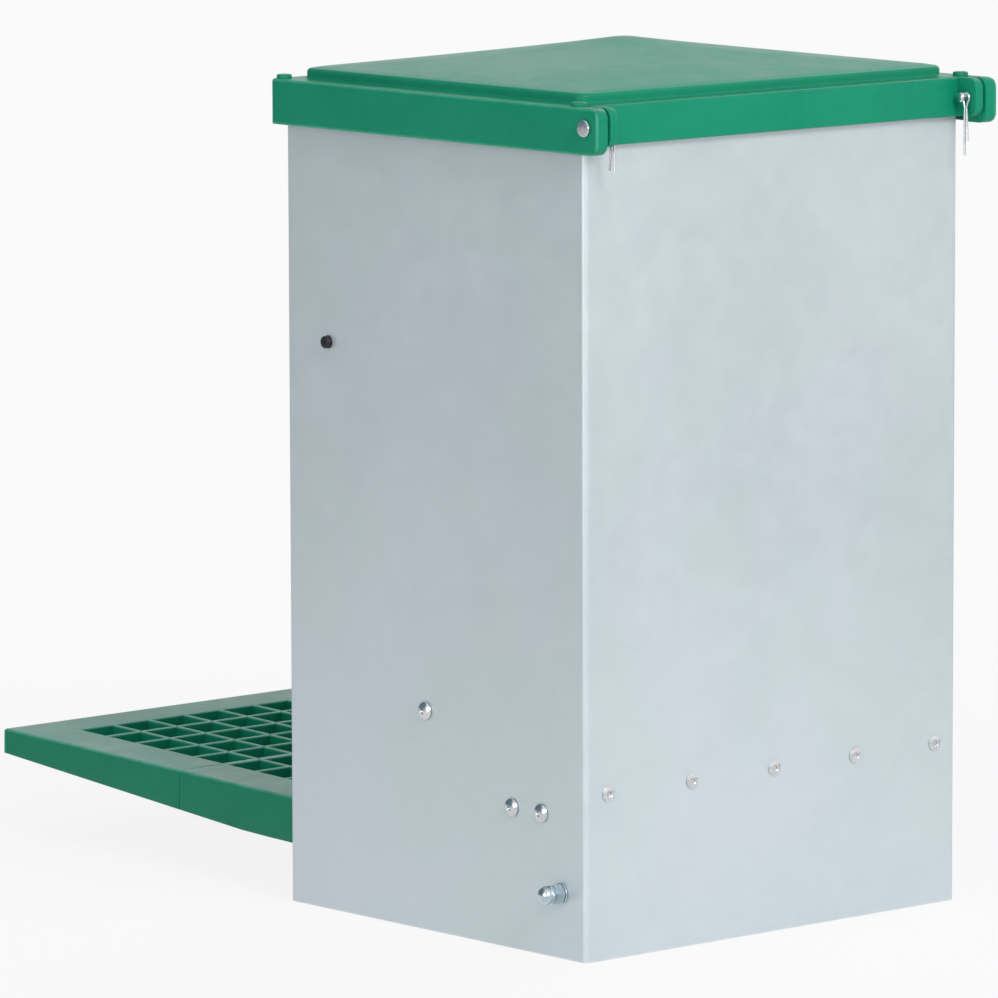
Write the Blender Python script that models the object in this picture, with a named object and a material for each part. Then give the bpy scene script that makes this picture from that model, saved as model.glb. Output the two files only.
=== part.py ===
"""Treadle chicken feeder, built as its separate pieces.

Metres, +Z up. The origin is on the floor under the middle of the body. The treadle points
to -Y and the lid hinges at the +Y side. Left is -X and right is +X.
"""
import math

import bmesh
import bpy
from mathutils import Matrix, Vector

# Clearances shared by all pieces
SEAT = 0.0003
OVERRUN = 0.004
BEND_STEPS = 4
ROUND_SIDES = 16
SMALL_SIDES = 12

# Folded sheet body
BODY_WIDTH = 0.300
BODY_DEPTH = 0.268
BORDER_Z = 0.500
SHEET = 0.001
BODY_BEND = 0.0035
FRONT_RETURN = 0.012
FLOOR_FLANGE = 0.012

# Feeding opening, front panel and apron
MOUTH_TOP = 0.352
SHELF_DEPTH = 0.025
APRON_BOTTOM = 0.0615
APRON_TOP = 0.122
APRON_HEM = 0.006
APRON_HEM_GAP = 0.003

# Feed tray
TRAY_REAR_Z = 0.108
TRAY_FLANGE = 0.019
TRAY_FLAT_FROM_FRONT = 0.094
TRAY_Z = 0.0685
TRAY_LIP = 0.030
TRAY_BEND = 0.003
NOTCH_PAST_PIN = 0.011
NOTCH_WIDTH = 0.013
TAB_BOTTOM = 0.076
TAB_MARGIN = 0.012
CHEEK_LEG = 0.014

# Hopper baffle
BAFFLE_FROM_FRONT = 0.016
BAFFLE_BEND_FROM_FRONT = 0.050
BAFFLE_BOTTOM_FROM_FRONT = 0.137
BAFFLE_BOTTOM_Z = 0.118
BAFFLE_FLANGE = 0.013

# Side hardware, placed from the body's front and back faces
ROD_FROM_FRONT = 0.0384
ROD_UNDER_MOUTH = 0.0079
BAFFLE_SCREW_FROM_FRONT = 0.1261
BAFFLE_SCREW_RISE = 0.0136
SPRING_SCREW_FROM_BACK = 0.0646
TRAY_SCREW_FROM_BACK = 0.0386
TRAY_SCREW_Z = 0.0837
PIVOT_FROM_BACK = 0.0216
PIVOT_Z = 0.0385
RIVET_MARGIN = 0.0176
RIVET_COUNT = 5
RIVET_Z = 0.098

# Flap, rod, cranks and bushes
ROD_R = 0.0035
FLAP_OVERLAP = 0.0085
FLAP_INSET = 0.014
FLAP_HEM = 0.007
FLAP_HEM_GAP = 0.003
KNUCKLE_R = 0.0049
BUSH_R = 0.0055
BUSH_HEAD = 0.0022
BUSH_COLLAR = 0.0045
BUSH_COLLAR_R = 0.0075
CRANK_RADIUS = 0.02174
CRANK_START = math.radians(5.02)
CRANK_THICK = 0.003
CRANK_PIN_R = 0.002
CRANK_HUB_R = 0.0075
CRANK_EYE_R = 0.005
LINK_R = 0.0022
LINK_EYE_R = 0.0052
LINK_EYE_BORE = 0.0028
LINK_WIDTH = 0.0044

# Treadle
TREADLE_INSET = 0.014
TREADLE_REACH = 0.2996
TREADLE_FRONT_Z = 0.067
TREADLE_DROP = 0.00893
CELLS_ACROSS = 7
CELLS_DEEP = 5
CELL_PITCH = 0.029
RIB = 0.002
SIDE_BORDER = 0.0356
END_BORDER = 0.0315
DECK = 0.003
RIB_DEPTH = 0.013
GUSSET_DEPTH = 0.0065
TREADLE_WALL = 0.0025
TREADLE_EDGE = 0.001
SKIRT_FRONT = 0.0157
SKIRT_FULL = 0.0283
SKIRT_BEND_REACH = 0.056

# Treadle arms
ARM_THICK = 0.003
ARM_FLANGE = 0.020
ARM_LEG_FRONT = 0.0065
ARM_LEG_REAR = 0.0195
ARM_FRONT_MARGIN = 0.006
ARM_REAR_MARGIN = 0.013
ARM_PIN_R = 0.002
ARM_PIN_FROM_FRONT = 0.128
ARM_PIN_Z = 0.040
SPRING_PIN_SPACING = 0.036
SPRING_PIN_Z = 0.0395
CROSS_BAR_GAP = 0.0206
CROSS_BAR_R = 0.005
TREADLE_SCREW_R = 0.002
TREADLE_SCREW_HEAD_R = 0.0042
TREADLE_SCREW_HEAD = 0.0022

# Pivot bolts
BOLT_R = 0.004
BOLT_HEX = 0.0065
BOLT_HEAD = 0.005
WASHER_R = 0.0085
WASHER = 0.0012
LOCK_NUT = 0.0065
CAP_HEX = 0.0025
CAP_DOME_R = 0.00535
CAP_DOME = 0.0055
SPACER_R = 0.0068

# Screws and rivets
SCREW_HEAD_R = 0.0056
SCREW_HEAD = 0.0030
SCREW_R = 0.0024
SCREW_LENGTH = 0.0075
HOOK_SCREW_LENGTH = 0.0135
RIVET_FLANGE_R = 0.0048
RIVET_FLANGE = 0.0013
RIVET_R = 0.0024
RIVET_MANDREL_R = 0.0012
RIVET_TAIL = 0.004

# Springs
SPRING_R = 0.0042
SPRING_WIRE_R = 0.0006
SPRING_TURNS = 12
SPRING_BODY_SHARE = 0.56
SPRING_TURN_POINTS = 7

# Collar
COLLAR_WEB = 0.003
COLLAR_LEG = 0.003
COLLAR_LEG_DROP = 0.022
BACK_SKIRT_OUT = 0.0056
BACK_SKIRT = 0.003
BACK_SKIRT_DROP = 0.0233
INNER_LUG_INSET = 0.0064
INNER_LUG = 0.006
INNER_LUG_DROP = 0.023

# Lid
LID_OVERHANG = 0.0104
LID_FRONT_OUT = 0.0022
LID_WALL = 0.003
LID_FRONT_WALL = 0.0014
SKIRT_DROP = 0.0272
LID_EDGE_R = 0.0018
LID_CORNER_R = 0.004
LUG_REAR_OUT = 0.0217
LUG_FRONT_OUT = 0.0063
LUG_CORNER_R = 0.0065
OUTER_LUG = 0.0086
LID_REAR_OUT = 0.0020
LID_UNDERCUT = 0.0026
CROWN_SIDE_INSET = 0.0045
CROWN_REAR_INSET = 0.0073
CROWN_FRONT_INSET = 0.0105
CROWN_WALL = 0.0063
CROWN_EDGE = 0.0012
CROWN_CORNER_R = 0.007
CROWN_RISE = 0.0196
CROWN_POWER = 0.95
CROWN_SHARES = (0.90, 0.72, 0.53, 0.35, 0.20, 0.08)
STUD_R = 0.0046
STUD = 0.0024
STUD_OUT = 0.0032
STUD_REAR_INSET = 0.0015
STUD_FRONT_INSET = 0.0030

# Hinge pins and split pins
HINGE_OUT = 0.0120
HINGE_DROP = 0.0115
PIN_R = 0.003
PIN_HEAD_R = 0.005
PIN_HEAD = 0.0022
PIN_TAIL = 0.005
CROSS_HOLE_R = 0.0011
CROSS_HOLE_INSET = 0.0024
WIRE_R = 0.00078
EYE_RISE = 0.0015
LEG_SPACING = 0.0039
LEG_DROPS_RIGHT = (0.0350, 0.0370)
LEG_DROPS_LEFT = (0.0460, 0.0370)

HALF_WIDTH = BODY_WIDTH / 2
HALF_DEPTH = BODY_DEPTH / 2
INNER_X = HALF_WIDTH - SHEET
INNER_Y = HALF_DEPTH - SHEET
RIVET_PITCH = (BODY_WIDTH - 2 * RIVET_MARGIN) / (RIVET_COUNT - 1)

ROD_Y = ROD_FROM_FRONT - HALF_DEPTH
ROD_Z = MOUTH_TOP - ROD_UNDER_MOUTH
BAFFLE_FRONT_Y = BAFFLE_FROM_FRONT - HALF_DEPTH
BAFFLE_BEND_Y = BAFFLE_BEND_FROM_FRONT - HALF_DEPTH
BAFFLE_BOTTOM_Y = BAFFLE_BOTTOM_FROM_FRONT - HALF_DEPTH
BAFFLE_SCREW_Y = BAFFLE_SCREW_FROM_FRONT - HALF_DEPTH
BAFFLE_SCREW_Z = BAFFLE_BOTTOM_Z + BAFFLE_SCREW_RISE
TRAY_SCREW_YS = (HALF_DEPTH - SPRING_SCREW_FROM_BACK, HALF_DEPTH - TRAY_SCREW_FROM_BACK)
TRAY_FLAT_Y = TRAY_FLAT_FROM_FRONT - HALF_DEPTH
ARM_PIN_Y = ARM_PIN_FROM_FRONT - HALF_DEPTH
SPRING_PIN_Y = ARM_PIN_Y + SPRING_PIN_SPACING
NOTCH_REAR_Y = ARM_PIN_Y + NOTCH_PAST_PIN
PIVOT_Y = HALF_DEPTH - PIVOT_FROM_BACK

FLAP_LENGTH = ROD_Z - APRON_TOP + FLAP_OVERLAP
FLAP_HALF_WIDTH = HALF_WIDTH - FLAP_INSET
TREADLE_HALF_WIDTH = HALF_WIDTH - TREADLE_INSET
TREADLE_FRONT_Y = -HALF_DEPTH - TREADLE_REACH
SKIRT_BEND_Y = -HALF_DEPTH - SKIRT_BEND_REACH
MODULE_LENGTH = END_BORDER + CELLS_DEEP * CELL_PITCH
TREADLE_REAR_Y = TREADLE_FRONT_Y + 2 * MODULE_LENGTH
TREADLE_SLOPE = -TREADLE_DROP / (2 * MODULE_LENGTH)
TREADLE_ANGLE = math.atan(TREADLE_SLOPE)
CROSS_BAR_Y = TREADLE_REAR_Y + CROSS_BAR_GAP

COLLAR_LEG_BOTTOM = BORDER_Z - COLLAR_LEG_DROP
BACK_SKIRT_Y = HALF_DEPTH + BACK_SKIRT_OUT
BACK_SKIRT_BOTTOM = BORDER_Z - BACK_SKIRT_DROP
INNER_LUG_X = HALF_WIDTH - INNER_LUG_INSET
INNER_LUG_BOTTOM = BORDER_Z - INNER_LUG_DROP
LID_HALF_WIDTH = HALF_WIDTH + LID_OVERHANG
LID_FRONT_Y = -HALF_DEPTH - LID_FRONT_OUT
LID_REAR_Y = HALF_DEPTH + LID_REAR_OUT
SKIRT_BOTTOM = BORDER_Z - SKIRT_DROP
LUG_REAR_Y = HALF_DEPTH + LUG_REAR_OUT
LUG_FRONT_Y = HALF_DEPTH + LUG_FRONT_OUT
CROWN_HALF_WIDTH = HALF_WIDTH - CROWN_SIDE_INSET
CROWN_REAR_Y = HALF_DEPTH - CROWN_REAR_INSET
CROWN_FRONT_Y = CROWN_FRONT_INSET - HALF_DEPTH
STUD_X = HALF_WIDTH + STUD_OUT
STUD_REAR_Y = HALF_DEPTH - STUD_REAR_INSET
STUD_FRONT_Y = STUD_FRONT_INSET - HALF_DEPTH
HINGE_Y = HALF_DEPTH + HINGE_OUT
HINGE_Z = BORDER_Z - HINGE_DROP
LEG_REAR_Y = HINGE_Y + LEG_SPACING

LID_UNDERSIDE = BORDER_Z - LID_WALL
COLLAR_TOP = LID_UNDERSIDE - SEAT
BODY_TOP = COLLAR_TOP - COLLAR_WEB - SEAT
FITTED_X = INNER_X - SEAT
ARM_OUTER_X = TREADLE_HALF_WIDTH - TREADLE_WALL - SEAT - TREADLE_EDGE
CRANK_X = FLAP_HALF_WIDTH + SEAT
FLAP_STOP_Y = -INNER_Y + SEAT + SHEET + APRON_HEM_GAP + SEAT + SHEET / 2
FLAP_CLOSED_ANGLE = math.asin((ROD_Y - KNUCKLE_R - FLAP_STOP_Y) / FLAP_LENGTH)
LINK_X = CRANK_X + CRANK_THICK + SEAT
CHEEK_X = INNER_X - NOTCH_WIDTH - SHEET


def material(name, colour, roughness, metallic):
    """Principled material shared by the pieces that are made of it."""
    shared = bpy.data.materials.get(name)
    if shared:
        return shared
    made = bpy.data.materials.new(name)
    made.use_nodes = True
    shader = made.node_tree.nodes["Principled BSDF"]
    shader.inputs["Base Color"].default_value = (*colour, 1.0)
    shader.inputs["Roughness"].default_value = roughness
    shader.inputs["Metallic"].default_value = metallic
    return made


def galvanised():
    return material("galvanised_sheet", (0.52, 0.56, 0.57), 0.42, 0.85)


def zinc():
    return material("bright_zinc", (0.70, 0.72, 0.73), 0.28, 1.0)


def green_plastic():
    return material("green_plastic", (0.030, 0.240, 0.140), 0.38, 0.0)


def black_plastic():
    return material("black_plastic", (0.02, 0.02, 0.02), 0.45, 0.0)


def new_object(name, mesh, look):
    """Link a mesh as a named object with its material, shaded smooth below 30 degrees."""
    mesh.materials.clear()
    mesh.materials.append(look)
    mesh.shade_smooth()
    mesh.set_sharp_from_angle(angle=math.radians(30))
    obj = bpy.data.objects.new(name, mesh)
    bpy.context.scene.collection.objects.link(obj)
    return obj


def mesh_from(points, faces, name):
    """Closed mesh from points and faces, with its faces turned outwards."""
    mesh = bpy.data.meshes.new(name)
    mesh.from_pydata([tuple(p) for p in points], [], faces)
    build = bmesh.new()
    build.from_mesh(mesh)
    bmesh.ops.recalc_face_normals(build, faces=build.faces)
    build.to_mesh(mesh)
    build.free()
    return mesh


def lofted(rings, name, ring_loop=False):
    """Skin a list of rings with equal point counts. Open stacks get flat end caps."""
    count = len(rings[0])
    points = [p for ring in rings for p in ring]
    faces = []
    last = len(rings) if ring_loop else len(rings) - 1
    for k in range(last):
        low = k * count
        high = ((k + 1) % len(rings)) * count
        for i in range(count):
            j = (i + 1) % count
            faces.append((low + i, low + j, high + j, high + i))
    if not ring_loop:
        faces.append(tuple(range(count)))
        faces.append(tuple(range(len(points) - count, len(points))))
    return mesh_from(points, faces, name)


def placed(plane, a, b, c):
    """Point from two outline values and one depth value in the plane XY, XZ or YZ."""
    return {"XY": (a, b, c), "XZ": (a, c, b), "YZ": (c, a, b)}[plane]


def prism(outline, plane, low, high, name="prism"):
    """Extrude a closed outline between two depths square to its plane."""
    rings = [[placed(plane, a, b, depth) for a, b in outline] for depth in (low, high)]
    return lofted(rings, name)


def box(x, y, z, name="box"):
    return prism([(x[0], y[0]), (x[1], y[0]), (x[1], y[1]), (x[0], y[1])], "XY", z[0], z[1], name)


def arc(centre, radius, start, end, steps):
    """Points of an arc, both ends included, angles in radians."""
    return [
        (
            centre[0] + radius * math.cos(start + (end - start) * k / steps),
            centre[1] + radius * math.sin(start + (end - start) * k / steps),
        )
        for k in range(steps + 1)
    ]


def circle(centre, radius, sides):
    return arc(centre, radius, 0, 2 * math.pi, sides)[:-1]


def folded(path, radius, thickness=SHEET):
    """Closed outline of a bent sheet whose middle line follows path."""
    spots = [Vector(p) for p in path]
    line = []
    for i, spot in enumerate(spots):
        before = (spot - spots[i - 1]).normalized() if i else None
        after = (spots[i + 1] - spot).normalized() if i < len(spots) - 1 else None
        if before is None or after is None:
            along = after or before
            line.append((spot, Vector((-along.y, along.x))))
            continue
        turn = math.atan2(before.cross(after), before.dot(after))
        side = math.copysign(1, turn)
        start = spot - before * (radius * math.tan(abs(turn) / 2))
        normal = Vector((-before.y, before.x))
        centre = start + normal * (radius * side)
        for k in range(BEND_STEPS + 1):
            swung = Matrix.Rotation(turn * k / BEND_STEPS, 2) @ normal
            line.append((centre - swung * (radius * side), swung))
    half = thickness / 2
    left = [tuple(p + n * half) for p, n in line]
    right = [tuple(p - n * half) for p, n in line]
    return left + right[::-1]


def rounded_box(half_x, low_y, high_y, radius, steps=3):
    """Rounded rectangle in XY as a list of points, one corner after the other."""
    x = half_x - radius
    corners = (
        ((x, high_y - radius), 0),
        ((-x, high_y - radius), 1),
        ((-x, low_y + radius), 2),
        ((x, low_y + radius), 3),
    )
    points = []
    for centre, quarter in corners:
        start = quarter * math.pi / 2
        points += arc(centre, radius, start, start + math.pi / 2, steps)
    return points


def turned(profile, sides, name="turned", hollow=False):
    """Revolve (radius, height) pairs about Z. A hollow profile is a closed loop."""
    rings = []
    for radius, height in profile:
        rings.append([(*p, height) for p in circle((0, 0), radius, sides)])
    return lofted(rings, name, ring_loop=hollow)


def along_x(mesh, x, y, z, side=1):
    """Lay a mesh made about +Z along X, its +Z towards side, with its origin at x, y, z."""
    mesh.transform(Matrix.Translation((x, y, z)) @ Matrix.Rotation(side * math.pi / 2, 4, "Y"))
    return mesh


def drill(centre_y, centre_z, radius, x, sides=ROUND_SIDES):
    """Round cutter along X at a Y, Z centre between two X values."""
    return prism(circle((centre_y, centre_z), radius, sides), "YZ", x[0], x[1], "drill")


def applied(obj, tool_mesh, operation):
    """Apply one exact Boolean with a tool mesh and drop the tool."""
    tool = bpy.data.objects.new("tool", tool_mesh)
    bpy.context.scene.collection.objects.link(tool)
    tool.hide_render = True
    tool.display_type = "WIRE"
    step = obj.modifiers.new(operation.lower(), "BOOLEAN")
    step.operation = operation
    step.solver = "EXACT"
    step.object = tool
    graph = bpy.context.evaluated_depsgraph_get()
    graph.update()
    result = bpy.data.meshes.new_from_object(obj.evaluated_get(graph))
    obj.modifiers.clear()
    obj.data = result
    bpy.data.objects.remove(tool)
    result.shade_smooth()
    result.set_sharp_from_angle(angle=math.radians(30))
    return obj


def cut(obj, *tools):
    for tool in tools:
        applied(obj, tool, "DIFFERENCE")
    return obj


def join(obj, *tools):
    for tool in tools:
        applied(obj, tool, "UNION")
    return obj


def mirrored(mesh):
    """Copy of a mesh reflected to the -X side, with its faces still outwards."""
    copy = mesh.copy()
    copy.transform(Matrix.Scale(-1, 4, (1, 0, 0)))
    copy.flip_normals()
    return copy


def pair(name, obj, look):
    """Name a right-hand piece and add its left-hand mirror image."""
    obj.name = name + "_right"
    return obj, new_object(name + "_left", mirrored(obj.data), look)


def axis_empty(name, y, z):
    empty = bpy.data.objects.new(name, None)
    empty.empty_display_size = BODY_DEPTH / 8
    empty.location = (0, y, z)
    bpy.context.scene.collection.objects.link(empty)
    return empty


def hang(empty, *pieces):
    """Parent pieces to an axis empty without moving them."""
    for piece in pieces:
        piece.parent = empty
        piece.location = piece.location - empty.location


def deck_z(y):
    """Height of the treadle's top plane."""
    return TREADLE_FRONT_Z + (y - TREADLE_FRONT_Y) * TREADLE_SLOPE


def tray_floor_z(y):
    """Height of the tray sheet's upper face."""
    if y <= TRAY_FLAT_Y:
        return TRAY_Z + SHEET / 2
    share = (y - TRAY_FLAT_Y) / (INNER_Y - TRAY_FLAT_Y)
    return TRAY_Z + share * (TRAY_REAR_Z - TRAY_Z) + SHEET / 2


def relieved(obj):
    """Notch a sheet's corners where they would meet the body's round bends."""
    heights = [point.co.z for point in obj.data.vertices]
    low, high = min(heights), max(heights)
    for x_side in (-1, 1):
        for y_side in (-1, 1):
            x = sorted((x_side * (HALF_WIDTH - BODY_BEND), x_side * (HALF_WIDTH + OVERRUN)))
            y = sorted((y_side * (HALF_DEPTH - BODY_BEND), y_side * (HALF_DEPTH + OVERRUN)))
            cut(obj, box(x, y, (low - OVERRUN, high + OVERRUN)))
    return obj


def body_wrap():
    """Sides, back and narrow front returns, folded from one sheet."""
    x = HALF_WIDTH - SHEET / 2
    y = HALF_DEPTH - SHEET / 2
    inner = HALF_WIDTH - FRONT_RETURN
    path = [(inner, -y), (x, -y), (x, y), (-x, y), (-x, -y), (-inner, -y)]
    outline = folded(path, BODY_BEND - SHEET / 2)
    obj = new_object("body_wrap", prism(outline, "XY", 0, BODY_TOP, "body_wrap"), galvanised())
    reach = (-HALF_WIDTH - OVERRUN, HALF_WIDTH + OVERRUN)
    holes = [
        (ROD_Y, ROD_Z, BUSH_R),
        (BAFFLE_SCREW_Y, BAFFLE_SCREW_Z, SCREW_R),
        (PIVOT_Y, PIVOT_Z, BOLT_R),
    ]
    holes += [(y, TRAY_SCREW_Z, SCREW_R) for y in TRAY_SCREW_YS]
    for y, z, radius in holes:
        cut(obj, drill(y, z, radius + SEAT, reach, SMALL_SIDES))
    for x in rivet_xs():
        outline = circle((x, RIVET_Z), RIVET_R + SEAT, SMALL_SIDES)
        cut(obj, prism(outline, "XZ", INNER_Y - OVERRUN, HALF_DEPTH + OVERRUN))
    return obj


def floor_panel():
    """Folded pan that closes the body's underside."""
    x = FITTED_X - SHEET / 2
    path = [(-x, FLOOR_FLANGE), (-x, SHEET / 2), (x, SHEET / 2), (x, FLOOR_FLANGE)]
    outline = folded(path, SHEET * 2)
    edge = INNER_Y - SEAT
    return relieved(new_object("floor_panel", prism(outline, "XZ", -edge, edge), galvanised()))


def front_panel():
    """Upper front sheet with a shelf folded back over the flap's rod."""
    y = -INNER_Y + SEAT + SHEET / 2
    path = [(y, BODY_TOP), (y, MOUTH_TOP + SHEET / 2), (y + SHELF_DEPTH, MOUTH_TOP + SHEET / 2)]
    outline = folded(path, SHEET * 2)
    mesh = prism(outline, "YZ", -FITTED_X, FITTED_X)
    return relieved(new_object("front_panel", mesh, galvanised()))


def front_apron():
    """Low front sheet under the feeding opening, its top edge hemmed inwards."""
    y = -INNER_Y + SEAT + SHEET / 2
    top = APRON_TOP - SHEET / 2
    path = [(y, APRON_BOTTOM), (y, top), (y + APRON_HEM_GAP, top)]
    path.append((y + APRON_HEM_GAP, top - APRON_HEM))
    outline = folded(path, SHEET)
    mesh = prism(outline, "YZ", -FITTED_X, FITTED_X)
    return relieved(new_object("front_apron", mesh, galvanised()))


def rivet_xs():
    middle = (RIVET_COUNT - 1) / 2
    return [(k - middle) * RIVET_PITCH for k in range(RIVET_COUNT)]


def feed_tray():
    """Sloping hopper floor and trough in one sheet, flanged to the back, front and sides."""
    rear = INNER_Y - SEAT - SHEET / 2
    front = -INNER_Y + 2 * SEAT + SHEET + SHEET / 2
    path = [
        (rear, TRAY_REAR_Z - TRAY_FLANGE),
        (rear, TRAY_REAR_Z),
        (TRAY_FLAT_Y, TRAY_Z),
        (front, TRAY_Z),
        (front, TRAY_Z + TRAY_LIP),
    ]
    outline = folded(path, TRAY_BEND)
    obj = new_object("feed_tray", prism(outline, "YZ", -FITTED_X, FITTED_X), galvanised())
    low = TRAY_SCREW_YS[0] - TAB_MARGIN
    high = TRAY_SCREW_YS[1] + TAB_MARGIN
    tab = [
        (low, TAB_BOTTOM),
        (high, TAB_BOTTOM),
        (high, tray_floor_z(high) - SHEET / 2),
        (low, tray_floor_z(low) - SHEET / 2),
    ]
    for side in (-1, 1):
        edges = sorted((side * (FITTED_X - SHEET), side * FITTED_X))
        join(obj, prism(tab, "YZ", *edges))
        notch = sorted((side * (CHEEK_X + SHEET + SEAT), side * (HALF_WIDTH + OVERRUN)))
        cut(obj, box(notch, (-HALF_DEPTH, NOTCH_REAR_Y), (0, TRAY_REAR_Z)))
        for y in TRAY_SCREW_YS:
            reach = sorted((side * (FITTED_X - SHEET - OVERRUN), side * (FITTED_X + OVERRUN)))
            cut(obj, drill(y, TRAY_SCREW_Z, SCREW_R + SEAT, reach, SMALL_SIDES))
    for x in rivet_xs():
        outline = circle((x, RIVET_Z), RIVET_R + SEAT, SMALL_SIDES)
        cut(obj, prism(outline, "XZ", rear - OVERRUN, INNER_Y + OVERRUN))
    return relieved(obj)


def flap_lowest_z():
    return ROD_Z - FLAP_LENGTH - SHEET


def trough_cheeks():
    """Upright side walls of the trough that keep feed away from the links."""
    top = flap_lowest_z() - SEAT
    front = -INNER_Y + 2 * SEAT + 2 * SHEET + SEAT
    rear = NOTCH_REAR_Y + SHEET + SEAT
    low_front = tray_floor_z(front) + SEAT
    low_rear = tray_floor_z(rear) + SEAT
    bend = TRAY_BEND + SHEET
    wall = [
        (front, low_front + bend),
        (front + bend, low_front),
        (TRAY_FLAT_Y, low_front),
        (rear, low_rear),
        (rear, top),
        (front, top),
    ]
    obj = new_object("trough_cheek", prism(wall, "YZ", CHEEK_X, CHEEK_X + SHEET), galvanised())
    leg = [
        (CHEEK_X, low_rear),
        (FITTED_X, low_rear),
        (FITTED_X, top + CHEEK_LEG),
        (CHEEK_X, top + CHEEK_LEG),
    ]
    join(obj, prism(leg, "XZ", rear - SHEET, rear))
    return pair("trough_cheek", obj, galvanised())


def hopper_baffle():
    """Sheet that holds the feed back behind the flap and leaves a gap over the tray."""
    z = MOUTH_TOP + SHEET + SEAT + SHEET / 2
    path = [(BAFFLE_FRONT_Y, z), (BAFFLE_BEND_Y, z), (BAFFLE_BOTTOM_Y, BAFFLE_BOTTOM_Z)]
    outline = folded(path, TRAY_BEND)
    obj = new_object("hopper_baffle", prism(outline, "YZ", -FITTED_X, FITTED_X), galvanised())
    run = Vector((BAFFLE_BOTTOM_Y - BAFFLE_BEND_Y, BAFFLE_BOTTOM_Z - z))
    forward = Vector((run.y, -run.x)).normalized() * BAFFLE_FLANGE
    tail = Vector((BAFFLE_BOTTOM_Y, BAFFLE_BOTTOM_Z)) - run.normalized() * SHEET
    flange = [
        tuple(tail),
        tuple(tail + forward),
        tuple(tail + forward - run / 3),
        tuple(tail - run / 3),
    ]
    for side in (-1, 1):
        edges = sorted((side * (FITTED_X - SHEET), side * FITTED_X))
        join(obj, prism(flange, "YZ", *edges))
        reach = sorted((side * (FITTED_X - SHEET - OVERRUN), side * (FITTED_X + OVERRUN)))
        cut(obj, drill(BAFFLE_SCREW_Y, BAFFLE_SCREW_Z, SCREW_R + SEAT, reach, SMALL_SIDES))
    return obj


def flap_point(distance, offset=0):
    """Y, Z of a spot on the closed flap: down its length from the rod and off its plane."""
    down = Vector((-math.sin(FLAP_CLOSED_ANGLE), -math.cos(FLAP_CLOSED_ANGLE)))
    back = Vector((-down.y, down.x))
    return Vector((ROD_Y, ROD_Z)) + down * distance + back * offset


def flap():
    """Swinging cover of the feeding opening, curled round its rod and hemmed at the foot."""
    curl = KNUCKLE_R
    hang_angle = -math.pi / 2 - FLAP_CLOSED_ANGLE
    start = hang_angle - math.radians(290)
    ring = arc((ROD_Y, ROD_Z), curl, start, hang_angle - math.radians(60), 6)
    foot = flap_point(FLAP_LENGTH, -curl)
    back = flap_point(FLAP_LENGTH, -curl + FLAP_HEM_GAP)
    tip = flap_point(FLAP_LENGTH - FLAP_HEM, -curl + FLAP_HEM_GAP)
    neck = flap_point(curl * 2, -curl)
    line = [Vector(p) for p in ring] + [neck, foot, back, tip]
    outline = folded(line, SHEET)
    mesh = prism(outline, "YZ", -FLAP_HALF_WIDTH, FLAP_HALF_WIDTH)
    return new_object("flap", mesh, galvanised())


def flap_rod():
    """Round bar that the flap and both cranks are fixed to."""
    reach = INNER_X - SEAT
    mesh = turned([(ROD_R, -reach), (ROD_R, reach)], ROUND_SIDES)
    return new_object("flap_rod", along_x(mesh, 0, ROD_Y, ROD_Z), zinc())


def flap_bushes():
    """Flanged plastic bushes that carry the rod in the side panels."""
    bore = ROD_R + SEAT
    outside = HALF_WIDTH - INNER_X + BUSH_HEAD
    profile = [
        (BUSH_R, outside - BUSH_HEAD / 3),
        (BUSH_R - BUSH_HEAD / 3, outside),
        (SEAT, outside),
        (SEAT, outside - BUSH_HEAD / 2),
        (bore, outside - BUSH_HEAD / 2),
        (bore, -BUSH_COLLAR),
        (BUSH_COLLAR_R, -BUSH_COLLAR),
        (BUSH_COLLAR_R, -SEAT),
        (BUSH_R, -SEAT),
    ]
    mesh = along_x(turned(profile, ROUND_SIDES, hollow=True), INNER_X, ROD_Y, ROD_Z)
    return pair("flap_bush", new_object("flap_bush", mesh, black_plastic()), black_plastic())


def crank_pin_spot():
    return (
        ROD_Y - CRANK_RADIUS * math.cos(CRANK_START),
        ROD_Z - CRANK_RADIUS * math.sin(CRANK_START),
    )


def taper_outline(first, first_r, second, second_r, steps=8):
    """Outline of a lever: two round ends joined by straight sides."""
    run = Vector(second) - Vector(first)
    heading = math.atan2(run.y, run.x)
    spread = math.acos((first_r - second_r) / run.length)
    near = arc(first, first_r, heading + spread, heading + 2 * math.pi - spread, steps)
    far = arc(second, second_r, heading - spread, heading + spread, steps)
    return near + far


def flap_cranks():
    """Levers on the rod, each with the pin that the link turns on."""
    spot = crank_pin_spot()
    outline = taper_outline((ROD_Y, ROD_Z), CRANK_HUB_R, spot, CRANK_EYE_R)
    plate = prism(outline, "YZ", CRANK_X, CRANK_X + CRANK_THICK)
    obj = new_object("flap_crank", plate, zinc())
    pin_end = LINK_X + LINK_WIDTH + SEAT * 2
    join(obj, drill(*spot, CRANK_PIN_R, (CRANK_X + CRANK_THICK / 2, pin_end), SMALL_SIDES))
    cut(obj, drill(ROD_Y, ROD_Z, ROD_R + SEAT, (CRANK_X - OVERRUN, CRANK_X + OVERRUN * 2)))
    return pair("flap_crank", obj, zinc())


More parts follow.
